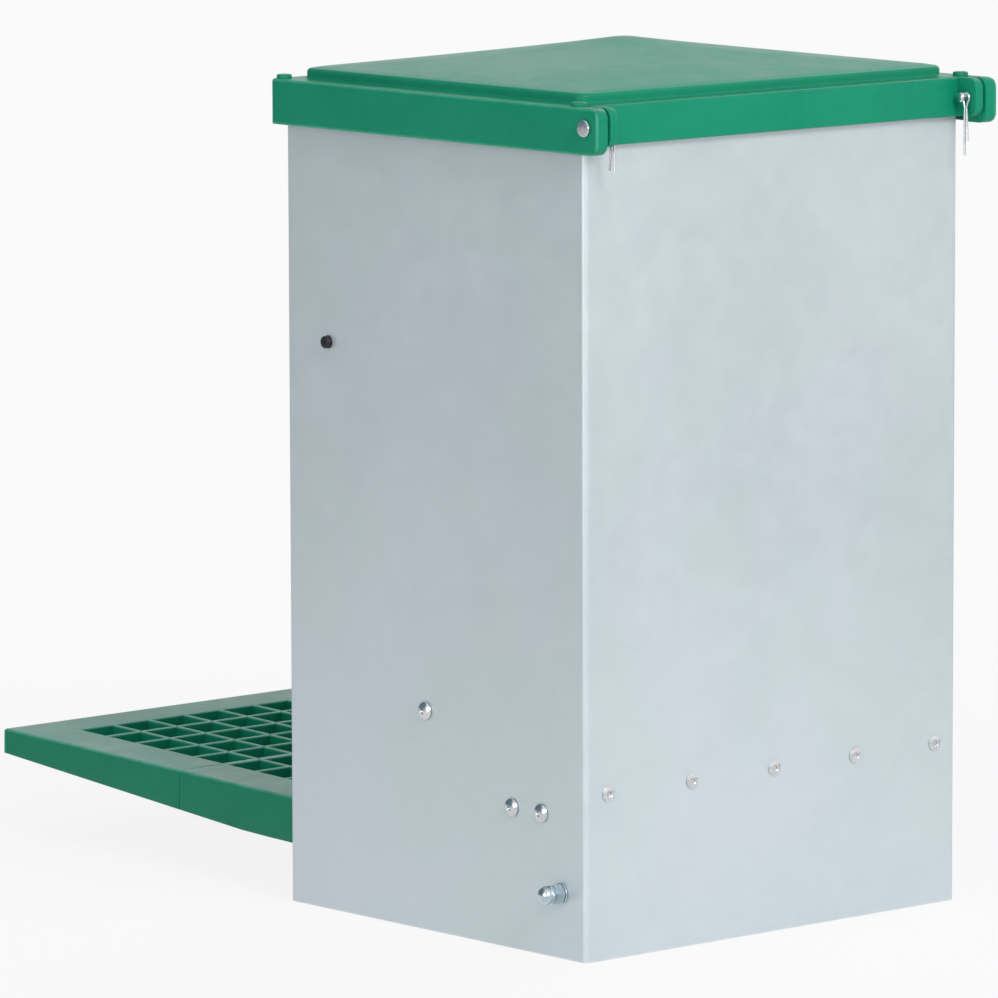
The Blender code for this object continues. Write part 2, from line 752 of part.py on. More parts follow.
def link_rods():
    """Long links from the treadle arms up to the cranks, with a flattened eye at each end."""
    low = Vector((ARM_PIN_Y, ARM_PIN_Z))
    high = Vector(crank_pin_spot())
    run = high - low
    middle = LINK_X + LINK_WIDTH / 2
    heading = math.atan2(run.x, run.y)
    rod = turned([(LINK_R, LINK_EYE_R / 2), (LINK_R, run.length - LINK_EYE_R / 2)], SMALL_SIDES)
    rod.transform(
        Matrix.Translation((middle, low.x, low.y)) @ Matrix.Rotation(-heading, 4, "X")
    )
    obj = new_object("link_rod", rod, zinc())
    for spot in (low, high):
        eye = circle(tuple(spot), LINK_EYE_R, ROUND_SIDES)
        join(obj, prism(eye, "YZ", LINK_X, LINK_X + LINK_WIDTH))
    for spot in (low, high):
        reach = (LINK_X - OVERRUN, LINK_X + LINK_WIDTH + OVERRUN)
        cut(obj, drill(*spot, LINK_EYE_BORE, reach))
    return pair("link_rod", obj, zinc())


def stepped_cells(xs, ys, layers, solid, height, name):
    """Closed mesh of the filled cells of a grid of columns, rows and layers."""
    columns, rows = len(xs) - 1, len(ys) - 1
    index = {}
    points = []
    faces = []

    def filled(i, j, k):
        inside = 0 <= i < columns and 0 <= j < rows and 0 <= k < layers
        return inside and solid(i, j, k)

    def corner(i, j, k):
        key = (i, j, k)
        if key not in index:
            index[key] = len(points)
            points.append((xs[i], ys[j], height(i, j, k)))
        return index[key]

    sides = {
        (-1, 0, 0): ((0, 0, 0), (0, 1, 0), (0, 1, 1), (0, 0, 1)),
        (1, 0, 0): ((1, 0, 0), (1, 0, 1), (1, 1, 1), (1, 1, 0)),
        (0, -1, 0): ((0, 0, 0), (0, 0, 1), (1, 0, 1), (1, 0, 0)),
        (0, 1, 0): ((0, 1, 0), (1, 1, 0), (1, 1, 1), (0, 1, 1)),
        (0, 0, -1): ((0, 0, 0), (1, 0, 0), (1, 1, 0), (0, 1, 0)),
        (0, 0, 1): ((0, 0, 1), (0, 1, 1), (1, 1, 1), (1, 0, 1)),
    }
    for i in range(columns):
        for j in range(rows):
            for k in range(layers):
                if not filled(i, j, k):
                    continue
                for (di, dj, dk), quad in sides.items():
                    if not filled(i + di, j + dj, k + dk):
                        faces.append(tuple(corner(i + a, j + b, k + c) for a, b, c in quad))
    return mesh_from(points, faces, name)


def skirt_depth(y):
    """Depth of the treadle's side skirt at a world Y."""
    share = min(1, (y - TREADLE_FRONT_Y) / (SKIRT_BEND_Y - TREADLE_FRONT_Y))
    return SKIRT_FRONT + (SKIRT_FULL - SKIRT_FRONT) * share


def treadle_module(name, start, front_end):
    """One moulded grille: an open field of cells with a border and skirts round it."""
    width = 2 * TREADLE_HALF_WIDTH
    pitch = (width - 2 * SIDE_BORDER + RIB) / CELLS_ACROSS
    xs = [0, TREADLE_EDGE, TREADLE_WALL, SIDE_BORDER - RIB]
    for cell in range(CELLS_ACROSS):
        xs += [SIDE_BORDER + cell * pitch, SIDE_BORDER + (cell + 1) * pitch - RIB]
    xs += [width - SIDE_BORDER + RIB, width - TREADLE_WALL, width - TREADLE_EDGE, width]
    xs = [x - TREADLE_HALF_WIDTH for x in xs]
    ys = [0, TREADLE_EDGE, TREADLE_WALL, END_BORDER - RIB]
    for cell in range(CELLS_DEEP):
        ys += [END_BORDER + cell * CELL_PITCH, END_BORDER + (cell + 1) * CELL_PITCH - RIB]
    ys += [MODULE_LENGTH]
    if not front_end:
        ys = [MODULE_LENGTH - y for y in reversed(ys)]
    last_column = len(xs) - 2
    skirt_columns = (0, 1, last_column - 1, last_column)
    rib_columns = range(3, last_column - 2, 2)
    rows = len(ys) - 1
    end_rows = (0, 1) if front_end else (rows - 2, rows - 1)
    rib_rows = range(3, rows, 2) if front_end else range(0, rows - 3, 2)
    open_rows = [j + 1 for j in rib_rows][:CELLS_DEEP]

    def open_cell(i, j):
        return i in range(4, last_column - 3, 2) and j in open_rows

    def solid(i, j, k):
        if open_cell(i, j):
            return False
        between_arms = front_end or 3 <= i <= last_column - 3
        edge = i in skirt_columns or (j in end_rows and between_arms)
        rib = i in rib_columns and (j in open_rows or j in rib_rows)
        rib = rib or (j in rib_rows and 3 <= i <= last_column - 3)
        gusset = j in rib_rows or j in end_rows or i in rib_columns
        return (True, edge or rib or gusset, edge or rib, edge)[k]

    def height(i, j, k):
        outer = i in (0, len(xs) - 1) or (j == 0 and front_end)
        if k == 0:
            return -TREADLE_EDGE if outer else 0
        if k < 4:
            return -(DECK, GUSSET_DEPTH, RIB_DEPTH)[k - 1]
        return -skirt_depth(start + ys[j])

    mesh = stepped_cells(xs, ys, 4, solid, height, name)
    obj = new_object(name, mesh, green_plastic())
    obj.rotation_euler.x = TREADLE_ANGLE
    obj.location = (0, start, deck_z(start))
    return obj


def arm_top_z(y):
    return deck_z(y) - GUSSET_DEPTH - SEAT


def treadle_arms():
    """Angle-section arms under the grille's borders, running back to the pivots."""
    front = TREADLE_FRONT_Y + TREADLE_WALL + ARM_FRONT_MARGIN
    knee = SKIRT_BEND_Y
    end = TREADLE_REAR_Y
    inner = ARM_OUTER_X - ARM_THICK
    narrow = inner - SEAT
    wide = ARM_OUTER_X - ARM_FLANGE
    stations = (
        (front, ARM_LEG_FRONT, wide),
        (knee, ARM_LEG_REAR, wide),
        (end, ARM_LEG_REAR, wide),
        (end + ARM_FLANGE, ARM_LEG_REAR, narrow),
        (PIVOT_Y, ARM_LEG_REAR, narrow),
        (PIVOT_Y + ARM_REAR_MARGIN, ARM_LEG_REAR / 2, narrow),
    )
    rings = []
    for y, depth, edge in stations:
        top = arm_top_z(y)
        section = [
            (ARM_OUTER_X, top),
            (ARM_OUTER_X, top - depth),
            (inner, top - depth),
            (inner, top - ARM_THICK),
            (edge, top - ARM_THICK),
            (edge, top),
        ]
        rings.append([(x, y, z) for x, z in section])
    obj = new_object("treadle_arm", lofted(rings, "treadle_arm"), galvanised())
    pin_end = LINK_X + LINK_WIDTH + SEAT * 2
    shoulder = LINK_X - SEAT
    body = ARM_OUTER_X - ARM_THICK / 2
    join(
        obj,
        drill(ARM_PIN_Y, ARM_PIN_Z, ARM_PIN_R * 2, (body, shoulder), SMALL_SIDES),
        drill(ARM_PIN_Y, ARM_PIN_Z, ARM_PIN_R, (shoulder - SEAT, pin_end), SMALL_SIDES),
        drill(SPRING_PIN_Y, SPRING_PIN_Z, ARM_PIN_R, (body, pin_end), SMALL_SIDES),
    )
    reach = (inner - OVERRUN, ARM_OUTER_X + OVERRUN)
    cut(obj, drill(PIVOT_Y, PIVOT_Z, BOLT_R + SEAT, reach))
    bar_z = cross_bar_z()
    cut(obj, drill(CROSS_BAR_Y, bar_z, CROSS_BAR_R + SEAT, reach, SMALL_SIDES))
    for y in treadle_screw_ys():
        hole = circle((treadle_screw_x(), y), TREADLE_SCREW_R + SEAT, SMALL_SIDES)
        cut(obj, prism(hole, "XY", arm_top_z(y) - ARM_THICK * 2, arm_top_z(y) + ARM_THICK))
    return pair("treadle_arm", obj, galvanised())


def cross_bar_z():
    return arm_top_z(CROSS_BAR_Y) - ARM_LEG_REAR / 2


def cross_bar():
    """Round bar that ties the two arms together behind the grille."""
    reach = ARM_OUTER_X + SEAT
    mesh = turned([(CROSS_BAR_R, -reach), (CROSS_BAR_R, reach)], SMALL_SIDES)
    return new_object("cross_bar", along_x(mesh, 0, CROSS_BAR_Y, cross_bar_z()), zinc())


def treadle_screw_x():
    return ARM_OUTER_X - ARM_FLANGE / 2 - ARM_THICK / 2


def treadle_screw_ys():
    """One screw under each module, on the middle rib."""
    middle = END_BORDER + (CELLS_DEEP - 1) / 2 * CELL_PITCH
    first = TREADLE_FRONT_Y + middle + (CELL_PITCH - RIB) / 2
    return (first, TREADLE_REAR_Y + SEAT - middle - (CELL_PITCH - RIB) / 2)


def treadle_screws():
    """Pan-head screws that hold the modules down on the arms."""
    names = ("front", "rear")
    pieces = []
    for name, y in zip(names, treadle_screw_ys()):
        top = deck_z(y) - DECK - SEAT
        under = arm_top_z(y) - ARM_THICK - SEAT
        profile = [
            (TREADLE_SCREW_HEAD_R / 2, under - TREADLE_SCREW_HEAD - top),
            (TREADLE_SCREW_HEAD_R, under - TREADLE_SCREW_HEAD / 2 - top),
            (TREADLE_SCREW_HEAD_R, under - top),
            (TREADLE_SCREW_R, under - top),
            (TREADLE_SCREW_R, 0),
        ]
        mesh = turned(profile, SMALL_SIDES)
        for side, label in ((1, "right"), (-1, "left")):
            title = f"treadle_screw_{name}_{label}"
            piece = new_object(title, mesh, zinc())
            piece.location = (side * treadle_screw_x(), y, top)
            pieces.append(piece)
    return pieces


def hexagon(centre, across_half):
    return [
        (centre[0] + p[0], centre[1] + p[1])
        for p in circle((0, 0), across_half / math.cos(math.pi / 6), 6)
    ]


def pivot_hardware():
    """Bolt, spacer, washer, lock nut and domed cap nut on each side of the pivot."""
    spot = (PIVOT_Y, PIVOT_Z)
    arm_inner = ARM_OUTER_X - ARM_THICK
    washer_end = HALF_WIDTH + SEAT + WASHER
    nut_end = washer_end + SEAT + LOCK_NUT
    cap_end = nut_end + SEAT + CAP_HEX
    shank_end = cap_end
    seat = arm_inner - SEAT * 2
    head = prism(hexagon(spot, BOLT_HEX), "YZ", seat - BOLT_HEAD, seat)
    bolt = new_object("pivot_bolt", head, zinc())
    join(bolt, drill(*spot, BOLT_R, (seat - BOLT_HEAD / 2, shank_end), ROUND_SIDES))
    pair("pivot_bolt", bolt, zinc())

    bore = BOLT_R + SEAT
    low, high = ARM_OUTER_X + SEAT, INNER_X - SEAT
    spacer = turned(
        [(SPACER_R, high), (bore, high), (bore, low), (SPACER_R, low)], ROUND_SIDES, hollow=True
    )
    spacer = along_x(spacer, 0, *spot)
    pair("pivot_spacer", new_object("pivot_spacer", spacer, black_plastic()), black_plastic())

    low, high = HALF_WIDTH + SEAT, washer_end
    washer = turned(
        [(WASHER_R, high), (bore, high), (bore, low), (WASHER_R, low)], ROUND_SIDES, hollow=True
    )
    pair("pivot_washer", new_object("pivot_washer", along_x(washer, 0, *spot), zinc()), zinc())

    nut = new_object(
        "pivot_nut", prism(hexagon(spot, BOLT_HEX), "YZ", washer_end + SEAT, nut_end), zinc()
    )
    cut(nut, drill(*spot, bore, (HALF_WIDTH, nut_end + OVERRUN)))
    pair("pivot_nut", nut, zinc())

    start = nut_end + SEAT
    cap = new_object("cap_nut", prism(hexagon(spot, BOLT_HEX), "YZ", start, cap_end), zinc())
    dome = [(CAP_DOME_R, -CAP_HEX / 2), (CAP_DOME_R, CAP_DOME - CAP_DOME_R / 2)]
    for k in range(1, 5):
        swing = k * math.pi / 2 / 5
        rise = CAP_DOME - CAP_DOME_R / 2 + CAP_DOME_R / 2 * math.sin(swing)
        dome.append((CAP_DOME_R * math.cos(swing), rise))
    join(cap, along_x(turned(dome[::-1], ROUND_SIDES), cap_end, *spot))
    cut(cap, drill(*spot, bore, (start - OVERRUN, cap_end + SEAT)))
    pair("cap_nut", cap, zinc())


def domed_screw(length):
    """Domed screw along +Z, its head's seat at zero height."""
    profile = [(SCREW_HEAD_R, SEAT), (SCREW_HEAD_R, SCREW_HEAD / 4)]
    for k in range(1, 4):
        swing = k * math.pi / 2 / 4
        rise = SCREW_HEAD / 4 + SCREW_HEAD * 3 / 4 * math.sin(swing)
        profile.append((SCREW_HEAD_R * math.cos(swing), rise))
    profile = profile[::-1] + [(SCREW_R, SEAT), (SCREW_R, -length)]
    return turned(profile, SMALL_SIDES)


def side_screws():
    """Domed screws through the side panels into the baffle and tray flanges."""
    spots = (
        ("baffle_screw", BAFFLE_SCREW_Y, BAFFLE_SCREW_Z, SCREW_LENGTH),
        ("spring_screw", TRAY_SCREW_YS[0], TRAY_SCREW_Z, HOOK_SCREW_LENGTH),
        ("tray_screw", TRAY_SCREW_YS[1], TRAY_SCREW_Z, SCREW_LENGTH),
    )
    for name, y, z, length in spots:
        mesh = along_x(domed_screw(length), HALF_WIDTH, y, z)
        pair(name, new_object(name, mesh, zinc()), zinc())


def back_rivets():
    """Blind rivets through the back panel and the tray's rear flange."""
    profile = [
        (RIVET_MANDREL_R, RIVET_FLANGE / 2),
        (RIVET_MANDREL_R * 2, RIVET_FLANGE),
        (RIVET_FLANGE_R, SEAT + RIVET_FLANGE / 4),
        (RIVET_FLANGE_R, SEAT),
        (RIVET_R, SEAT),
        (RIVET_R, -RIVET_TAIL),
    ]
    mesh = turned(profile, SMALL_SIDES)
    mesh.transform(Matrix.Rotation(-math.pi / 2, 4, "X"))
    for number, x in enumerate(rivet_xs(), 1):
        rivet = new_object(f"back_rivet_{number}", mesh, zinc())
        rivet.location = (x, HALF_DEPTH, RIVET_Z)


def tube(path, radius, name, look, roundness=1):
    """Wire along a list of 3-D points, with filled ends."""
    curve = bpy.data.curves.new(name, "CURVE")
    curve.dimensions = "3D"
    curve.bevel_depth = radius
    curve.bevel_resolution = roundness
    curve.use_fill_caps = True
    spline = curve.splines.new("POLY")
    spline.points.add(len(path) - 1)
    for point, place in zip(spline.points, path):
        point.co = (*place, 1)
    curve.materials.append(look)
    obj = bpy.data.objects.new(name, curve)
    bpy.context.scene.collection.objects.link(obj)
    return obj


def return_springs():
    """Tension springs between the long tray screws and the pins on the arms."""
    high = Vector((TRAY_SCREW_YS[0], TRAY_SCREW_Z))
    low = Vector((SPRING_PIN_Y, SPRING_PIN_Z))
    run = low - high
    along = run.normalized()
    across = Vector((-along.y, along.x))
    middle_x = LINK_X + LINK_WIDTH / 2
    body = run.length * SPRING_BODY_SHARE
    lead = (run.length - body) / 2
    top_r = SCREW_R + SEAT + SPRING_WIRE_R
    low_r = ARM_PIN_R + SEAT + SPRING_WIRE_R
    path = []
    for k in range(6):
        swing = math.pi * 1.3 * (1 - k / 6)
        spot = high + along * (top_r * math.cos(swing)) + across * (top_r * math.sin(swing))
        path.append((middle_x, spot.x, spot.y))
    steps = SPRING_TURNS * SPRING_TURN_POINTS
    for k in range(steps + 1):
        swing = 2 * math.pi * k / SPRING_TURN_POINTS
        spot = high + along * (lead + body * k / steps) + across * (SPRING_R * math.cos(swing))
        path.append((middle_x + SPRING_R * math.sin(swing), spot.x, spot.y))
    for k in range(6):
        swing = math.pi * 1.3 * (k + 1) / 6
        spot = low - along * (low_r * math.cos(swing)) + across * (low_r * math.sin(swing))
        path.append((middle_x, spot.x, spot.y))
    for side, label in ((1, "right"), (-1, "left")):
        mirrored_path = [(side * x, y, z) for x, y, z in path]
        tube(mirrored_path, SPRING_WIRE_R, "return_spring_" + label, zinc(), 0)


def lug_outline(front, bottom, bottom_r):
    """Side view of a hinge lug, rounded at its rear corners."""
    top_centre = (LUG_REAR_Y - LUG_CORNER_R, BORDER_Z - LUG_CORNER_R)
    low_centre = (LUG_REAR_Y - bottom_r, bottom + bottom_r)
    outline = [(front, BORDER_Z), (front, bottom)]
    outline += arc(low_centre, bottom_r, -math.pi / 2, 0, 5)
    outline += arc(top_centre, LUG_CORNER_R, 0, math.pi / 2, 5)
    return outline


def collar():
    """Moulded rim that caps the body's top edge and carries the inner hinge lugs."""
    web_low = COLLAR_TOP - COLLAR_WEB
    outer = (HALF_WIDTH, -HALF_DEPTH, HALF_DEPTH, BODY_BEND)
    leg_face = FITTED_X
    leg_y = INNER_Y - SEAT - 2 * SHEET
    middle = (leg_face, -leg_y, INNER_Y - SEAT, BODY_BEND)
    inner = (leg_face - COLLAR_LEG, COLLAR_LEG - leg_y, INNER_Y - SEAT - COLLAR_LEG, BODY_BEND)
    section = (
        (outer, web_low),
        (outer, COLLAR_TOP),
        (inner, COLLAR_TOP),
        (inner, COLLAR_LEG_BOTTOM),
        (middle, COLLAR_LEG_BOTTOM),
        (middle, web_low),
    )
    rings = [[(*p, z) for p in rounded_box(*shape)] for shape, z in section]
    obj = new_object("collar", lofted(rings, "collar", ring_loop=True), green_plastic())
    wall = BACK_SKIRT_Y - BACK_SKIRT
    skirt = [
        (wall, BACK_SKIRT_BOTTOM),
        (BACK_SKIRT_Y, BACK_SKIRT_BOTTOM),
        (BACK_SKIRT_Y, BORDER_Z - LID_EDGE_R),
    ]
    skirt += arc((BACK_SKIRT_Y - LID_EDGE_R, BORDER_Z - LID_EDGE_R), LID_EDGE_R, 0, math.pi / 2, 3)[1:]
    skirt += [(wall, BORDER_Z), (wall, COLLAR_TOP), (INNER_Y, COLLAR_TOP), (INNER_Y, web_low)]
    skirt += [(wall, web_low)]
    reach = INNER_LUG_X + INNER_LUG
    join(obj, prism(skirt, "YZ", -reach, reach))
    lug = lug_outline(BACK_SKIRT_Y - LID_EDGE_R * 1.5, INNER_LUG_BOTTOM, LUG_CORNER_R)
    for side in (-1, 1):
        edges = sorted((side * INNER_LUG_X, side * reach))
        join(obj, prism(lug, "YZ", *edges))
        bore = sorted((side * (INNER_LUG_X - OVERRUN), side * (reach + OVERRUN)))
        cut(obj, drill(HINGE_Y, HINGE_Z, PIN_R + SEAT, bore))
    return obj


def crown_rings(inset):
    """Rings of the raised crown from its foot to near its peak, drawn in by a wall."""
    foot_r = CROWN_CORNER_R - inset
    half = CROWN_HALF_WIDTH - inset
    low, high = CROWN_FRONT_Y + inset, CROWN_REAR_Y - inset
    centre = (low + high) / 2
    depth = (high - low) / 2
    eave = BORDER_Z + CROWN_WALL - inset
    rings = []
    for swing in (0, math.pi / 4, math.pi / 2):
        draw = CROWN_EDGE * (1 - math.cos(swing))
        z = eave - CROWN_EDGE * (1 - math.sin(swing))
        rings.append((half - draw, low + draw, high - draw, foot_r, z))
    for share in CROWN_SHARES:
        reach = half * share
        radius = foot_r + (min(reach, depth * share) - foot_r) * (1 - share) ** 2
        rise = CROWN_RISE * (1 - share**CROWN_POWER)
        rings.append((reach, centre - depth * share, centre + depth * share, radius, eave + rise))
    return rings


def ring_points(shape):
    half, low, high, radius, z = shape
    return [(*p, z) for p in rounded_box(half, low, high, radius)]


def lid_shell():
    """Outer form of the lid: skirt, rounded edge, flat border and crown."""
    rings = []
    for swing in (0, math.pi / 4, math.pi / 2):
        draw = LID_EDGE_R * (1 - math.cos(swing))
        z = BORDER_Z - LID_EDGE_R * (1 - math.sin(swing))
        rings.append((LID_HALF_WIDTH - draw, LID_FRONT_Y + draw, LUG_REAR_Y, LID_CORNER_R - draw, z))
    foot = (CROWN_HALF_WIDTH, CROWN_FRONT_Y, CROWN_REAR_Y, CROWN_CORNER_R, BORDER_Z)
    base = (LID_HALF_WIDTH, LID_FRONT_Y, LUG_REAR_Y, LID_CORNER_R, SKIRT_BOTTOM)
    stack = [base] + rings + [foot] + crown_rings(0)
    return lofted([ring_points(shape) for shape in stack], "lid")


def lid_hollow():
    """Space under the lid's wall."""
    inner = LID_HALF_WIDTH - LID_WALL
    front = LID_FRONT_Y + LID_FRONT_WALL
    radius = LID_CORNER_R - LID_FRONT_WALL
    foot = (
        CROWN_HALF_WIDTH - LID_WALL,
        CROWN_FRONT_Y + LID_WALL,
        CROWN_REAR_Y - LID_WALL,
        CROWN_CORNER_R - LID_WALL,
        LID_UNDERSIDE,
    )
    low = (inner, front, LUG_FRONT_Y, radius, SKIRT_BOTTOM - OVERRUN)
    high = (inner, front, LUG_FRONT_Y, radius, LID_UNDERSIDE)
    return lofted([ring_points(shape) for shape in [low, high, foot] + crown_rings(LID_WALL)], "hollow")


def lid():
    """Hinged moulded lid, undercut at the rear so that it swings clear of the collar."""
    obj = new_object("lid", lid_shell(), green_plastic())
    cut(obj, lid_hollow())
    lug_inner = LID_HALF_WIDTH - OUTER_LUG
    behind = LUG_REAR_Y + OVERRUN
    under = SKIRT_BOTTOM - OVERRUN
    gap = [
        (LID_REAR_Y, BORDER_Z + OVERRUN),
        (LID_REAR_Y, BORDER_Z),
        (LID_REAR_Y - LID_UNDERCUT, LID_UNDERSIDE),
        (LID_REAR_Y - LID_UNDERCUT, under),
        (behind, under),
        (behind, BORDER_Z + OVERRUN),
    ]
    cut(obj, prism(gap, "YZ", -lug_inner, lug_inner))
    keep = lug_outline(LUG_FRONT_Y, SKIRT_BOTTOM, LUG_CORNER_R)
    waste = [(LUG_REAR_Y - LUG_CORNER_R, under), (behind, under)]
    waste += [(behind, BORDER_Z + OVERRUN), (LUG_REAR_Y - LUG_CORNER_R, BORDER_Z + OVERRUN)]
    waste += keep[2:][::-1]
    reach = LID_HALF_WIDTH + OVERRUN
    cut(obj, prism(waste, "YZ", -reach, reach))
    for side in (-1, 1):
        bore = sorted((side * (lug_inner - OVERRUN), side * reach))
        cut(obj, drill(HINGE_Y, HINGE_Z, PIN_R + SEAT, bore))
        for y in (STUD_FRONT_Y, STUD_REAR_Y):
            stud = turned(
                [
                    (STUD_R, -LID_WALL / 2),
                    (STUD_R, STUD * 2 / 3),
                    (STUD_R - STUD / 3, STUD),
                ],
                ROUND_SIDES,
            )
            stud.transform(Matrix.Translation((side * STUD_X, y, BORDER_Z)))
            join(obj, stud)
    return obj


def hinge_pins():
    """Clevis pins, each with a flat head outside and a cross hole in its tail."""
    face = LID_HALF_WIDTH + SEAT
    tail = INNER_LUG_X - PIN_TAIL
    profile = [
        (PIN_HEAD_R - PIN_HEAD / 4, PIN_HEAD),
        (PIN_HEAD_R, PIN_HEAD * 3 / 4),
        (PIN_HEAD_R, 0),
        (PIN_R, 0),
        (PIN_R, tail - face + PIN_HEAD / 4),
        (PIN_R - PIN_HEAD / 4, tail - face),
    ]
    mesh = along_x(turned(profile, ROUND_SIDES), face, HINGE_Y, HINGE_Z)
    obj = new_object("hinge_pin", mesh, zinc())
    hole = circle((tail + CROSS_HOLE_INSET, HINGE_Y), CROSS_HOLE_R, SMALL_SIDES)
    cut(obj, prism(hole, "XY", HINGE_Z - PIN_R * 2, HINGE_Z + PIN_R * 2))
    return pair("hinge_pin", obj, zinc())


def split_pins():
    """Wire pins: one leg through the clevis pin, the eye over it, one leg behind it."""
    x = INNER_LUG_X - PIN_TAIL + CROSS_HOLE_INSET
    radius = (LEG_REAR_Y - HINGE_Y) / 2
    centre = (HINGE_Y + radius, HINGE_Z + PIN_R + EYE_RISE)
    eye = arc(centre, radius, math.pi, 0, 8)
    for side, label, drops in ((1, "right", LEG_DROPS_RIGHT), (-1, "left", LEG_DROPS_LEFT)):
        path = [(HINGE_Y, BORDER_Z - drops[0])] + eye + [(LEG_REAR_Y, BORDER_Z - drops[1])]
        tube([(side * x, y, z) for y, z in path], WIRE_R, "split_pin_" + label, zinc())


def build():
    for obj in list(bpy.data.objects):
        bpy.data.objects.remove(obj)

    body_wrap()
    floor_panel()
    front_panel()
    front_apron()
    feed_tray()
    trough_cheeks()
    hopper_baffle()
    flap_bushes()
    pivot_hardware()
    side_screws()
    back_rivets()
    collar()
    hinge_pins()
    split_pins()
    return_springs()

    lid_axis = axis_empty("lid_axis", HINGE_Y, HINGE_Z)
    hang(lid_axis, lid())

    flap_axis = axis_empty("flap_axis", ROD_Y, ROD_Z)
    hang(flap_axis, flap(), flap_rod(), *flap_cranks())

    treadle_axis = axis_empty("treadle_axis", PIVOT_Y, PIVOT_Z)
    front = treadle_module("treadle_front", TREADLE_FRONT_Y, True)
    rear = treadle_module("treadle_rear", TREADLE_FRONT_Y + MODULE_LENGTH + SEAT, False)
    hang(treadle_axis, front, rear, *treadle_arms(), cross_bar(), *treadle_screws())

    link_axis = axis_empty("link_axis", ARM_PIN_Y, ARM_PIN_Z)
    hang(link_axis, *link_rods())


build()
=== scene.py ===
"""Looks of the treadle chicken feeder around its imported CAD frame.

Metres, +Z up, treadle towards -Y, lid hinge at +Y, left is -X and right is +X.
"""
import math
from contextlib import contextmanager

import bmesh
import bpy
from mathutils import Matrix, Vector


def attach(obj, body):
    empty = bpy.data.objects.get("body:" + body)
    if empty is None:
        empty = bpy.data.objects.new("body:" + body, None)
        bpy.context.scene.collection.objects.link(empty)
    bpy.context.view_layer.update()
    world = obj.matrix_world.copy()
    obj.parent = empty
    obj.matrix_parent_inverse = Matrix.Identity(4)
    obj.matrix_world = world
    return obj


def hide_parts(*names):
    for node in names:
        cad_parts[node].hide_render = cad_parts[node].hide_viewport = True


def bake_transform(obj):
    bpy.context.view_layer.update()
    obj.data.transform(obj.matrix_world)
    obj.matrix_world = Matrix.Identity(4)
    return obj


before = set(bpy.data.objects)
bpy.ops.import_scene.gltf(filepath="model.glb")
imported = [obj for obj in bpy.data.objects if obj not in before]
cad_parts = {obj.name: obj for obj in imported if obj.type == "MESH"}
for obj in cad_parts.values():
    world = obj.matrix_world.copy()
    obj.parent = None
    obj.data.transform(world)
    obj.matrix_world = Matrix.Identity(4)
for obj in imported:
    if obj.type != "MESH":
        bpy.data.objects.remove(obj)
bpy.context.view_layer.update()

GAP, PAST, SHEET, BEND = 0.0003, 0.004, 0.001, 0.0035
HALF_X, HALF_Y = 0.150, 0.134
IN_X, IN_Y = HALF_X - SHEET, HALF_Y - SHEET
FIT_X = IN_X - GAP
BORDER_Z, LID_UNDER, COLLAR_TOP, BODY_TOP = 0.500, 0.497, 0.4967, 0.4934
MOUTH_TOP, APRON_TOP, APRON_FOOT, HEM = 0.352, 0.122, 0.0615, 0.003
TRAY_FLAT_Y, TRAY_Z, TRAY_REAR_Z = -0.040, 0.0685, 0.108
ROD, ROD_R = (-0.0956, 0.3441), 0.0035
FLAP_LONG, FLAP_X, CURL_R = 0.2306, 0.136, 0.0049
PLUG_R, SCREW_R = 0.0037, 0.0024
BAFFLE_SCREW = (-0.0079, 0.1316)
TRAY_SCREWS = ((0.0694, 0.0837), (0.0954, 0.0837))
RIVETS = [((k - 2) * 0.0662, 0.098) for k in range(5)]
PIVOT, PIVOT_R = (0.1124, 0.0385), 0.004
HINGE, HINGE_R = (0.146, 0.4885), 0.003
TREADLE_FRONT, TREADLE_FRONT_Z, SLOPE = -0.4336, 0.067, -0.00893 / 0.353
PAD_X, MODULE, PITCH, SIDE_BORDER, END_BORDER, RIB = 0.136, 0.1765, 0.029, 0.0356, 0.0315, 0.002
ARM_OUT, ARM_THICK, ARM_LEG = 0.1322, 0.003, 0.0195
LINK_X, LINK_WIDTH = 0.1396, 0.0044
ARM_PIN, SPRING_PIN, PIN_R = (-0.006, 0.040), (0.030, 0.0395), 0.002


# ---- nodes ----------------------------------------------------------------

class Value:
    """Output of a node; arithmetic on it adds Math nodes to its tree."""

    def __init__(self, socket):
        self.socket = socket

    def __add__(self, other):
        return worked("ADD", self, other)

    def __sub__(self, other):
        return worked("SUBTRACT", self, other)

    def __rsub__(self, other):
        return worked("SUBTRACT", other, self)

    def __mul__(self, other):
        return worked("MULTIPLY", self, other)

    def __truediv__(self, other):
        return worked("DIVIDE", self, other)

    def __lt__(self, other):
        return worked("LESS_THAN", self, other)

    def __gt__(self, other):
        return worked("GREATER_THAN", self, other)

    def __abs__(self):
        return worked("ABSOLUTE", self)


def node(tree, kind, feeds=None, **settings):
    """One node with its settings, and its inputs fed from outputs or plain values."""
    made = tree.nodes.new(kind)
    for key, value in settings.items():
        setattr(made, key, value)
    for key, value in (feeds or {}).items():
        if isinstance(value, Value):
            tree.links.new(value.socket, made.inputs[key])
        else:
            made.inputs[key].default_value = value
    return made


def put(kind, feeds, pick=0, **settings):
    """What a new node puts out, in the tree that feeds it."""
    tree = next(v.socket.id_data for v in feeds.values() if isinstance(v, Value))
    return Value(node(tree, kind, feeds, **settings).outputs[pick])


def worked(operation, *values, clamp=False):
    return put("ShaderNodeMath", dict(enumerate(values)), operation=operation, use_clamp=clamp)


def larger(first, second):
    return worked("MAXIMUM", first, second)


def vectors(operation, *values):
    return put("ShaderNodeVectorMath", dict(enumerate(values)), operation=operation)


def split(spot):
    return [put("ShaderNodeSeparateXYZ", {0: spot}, k) for k in range(3)]


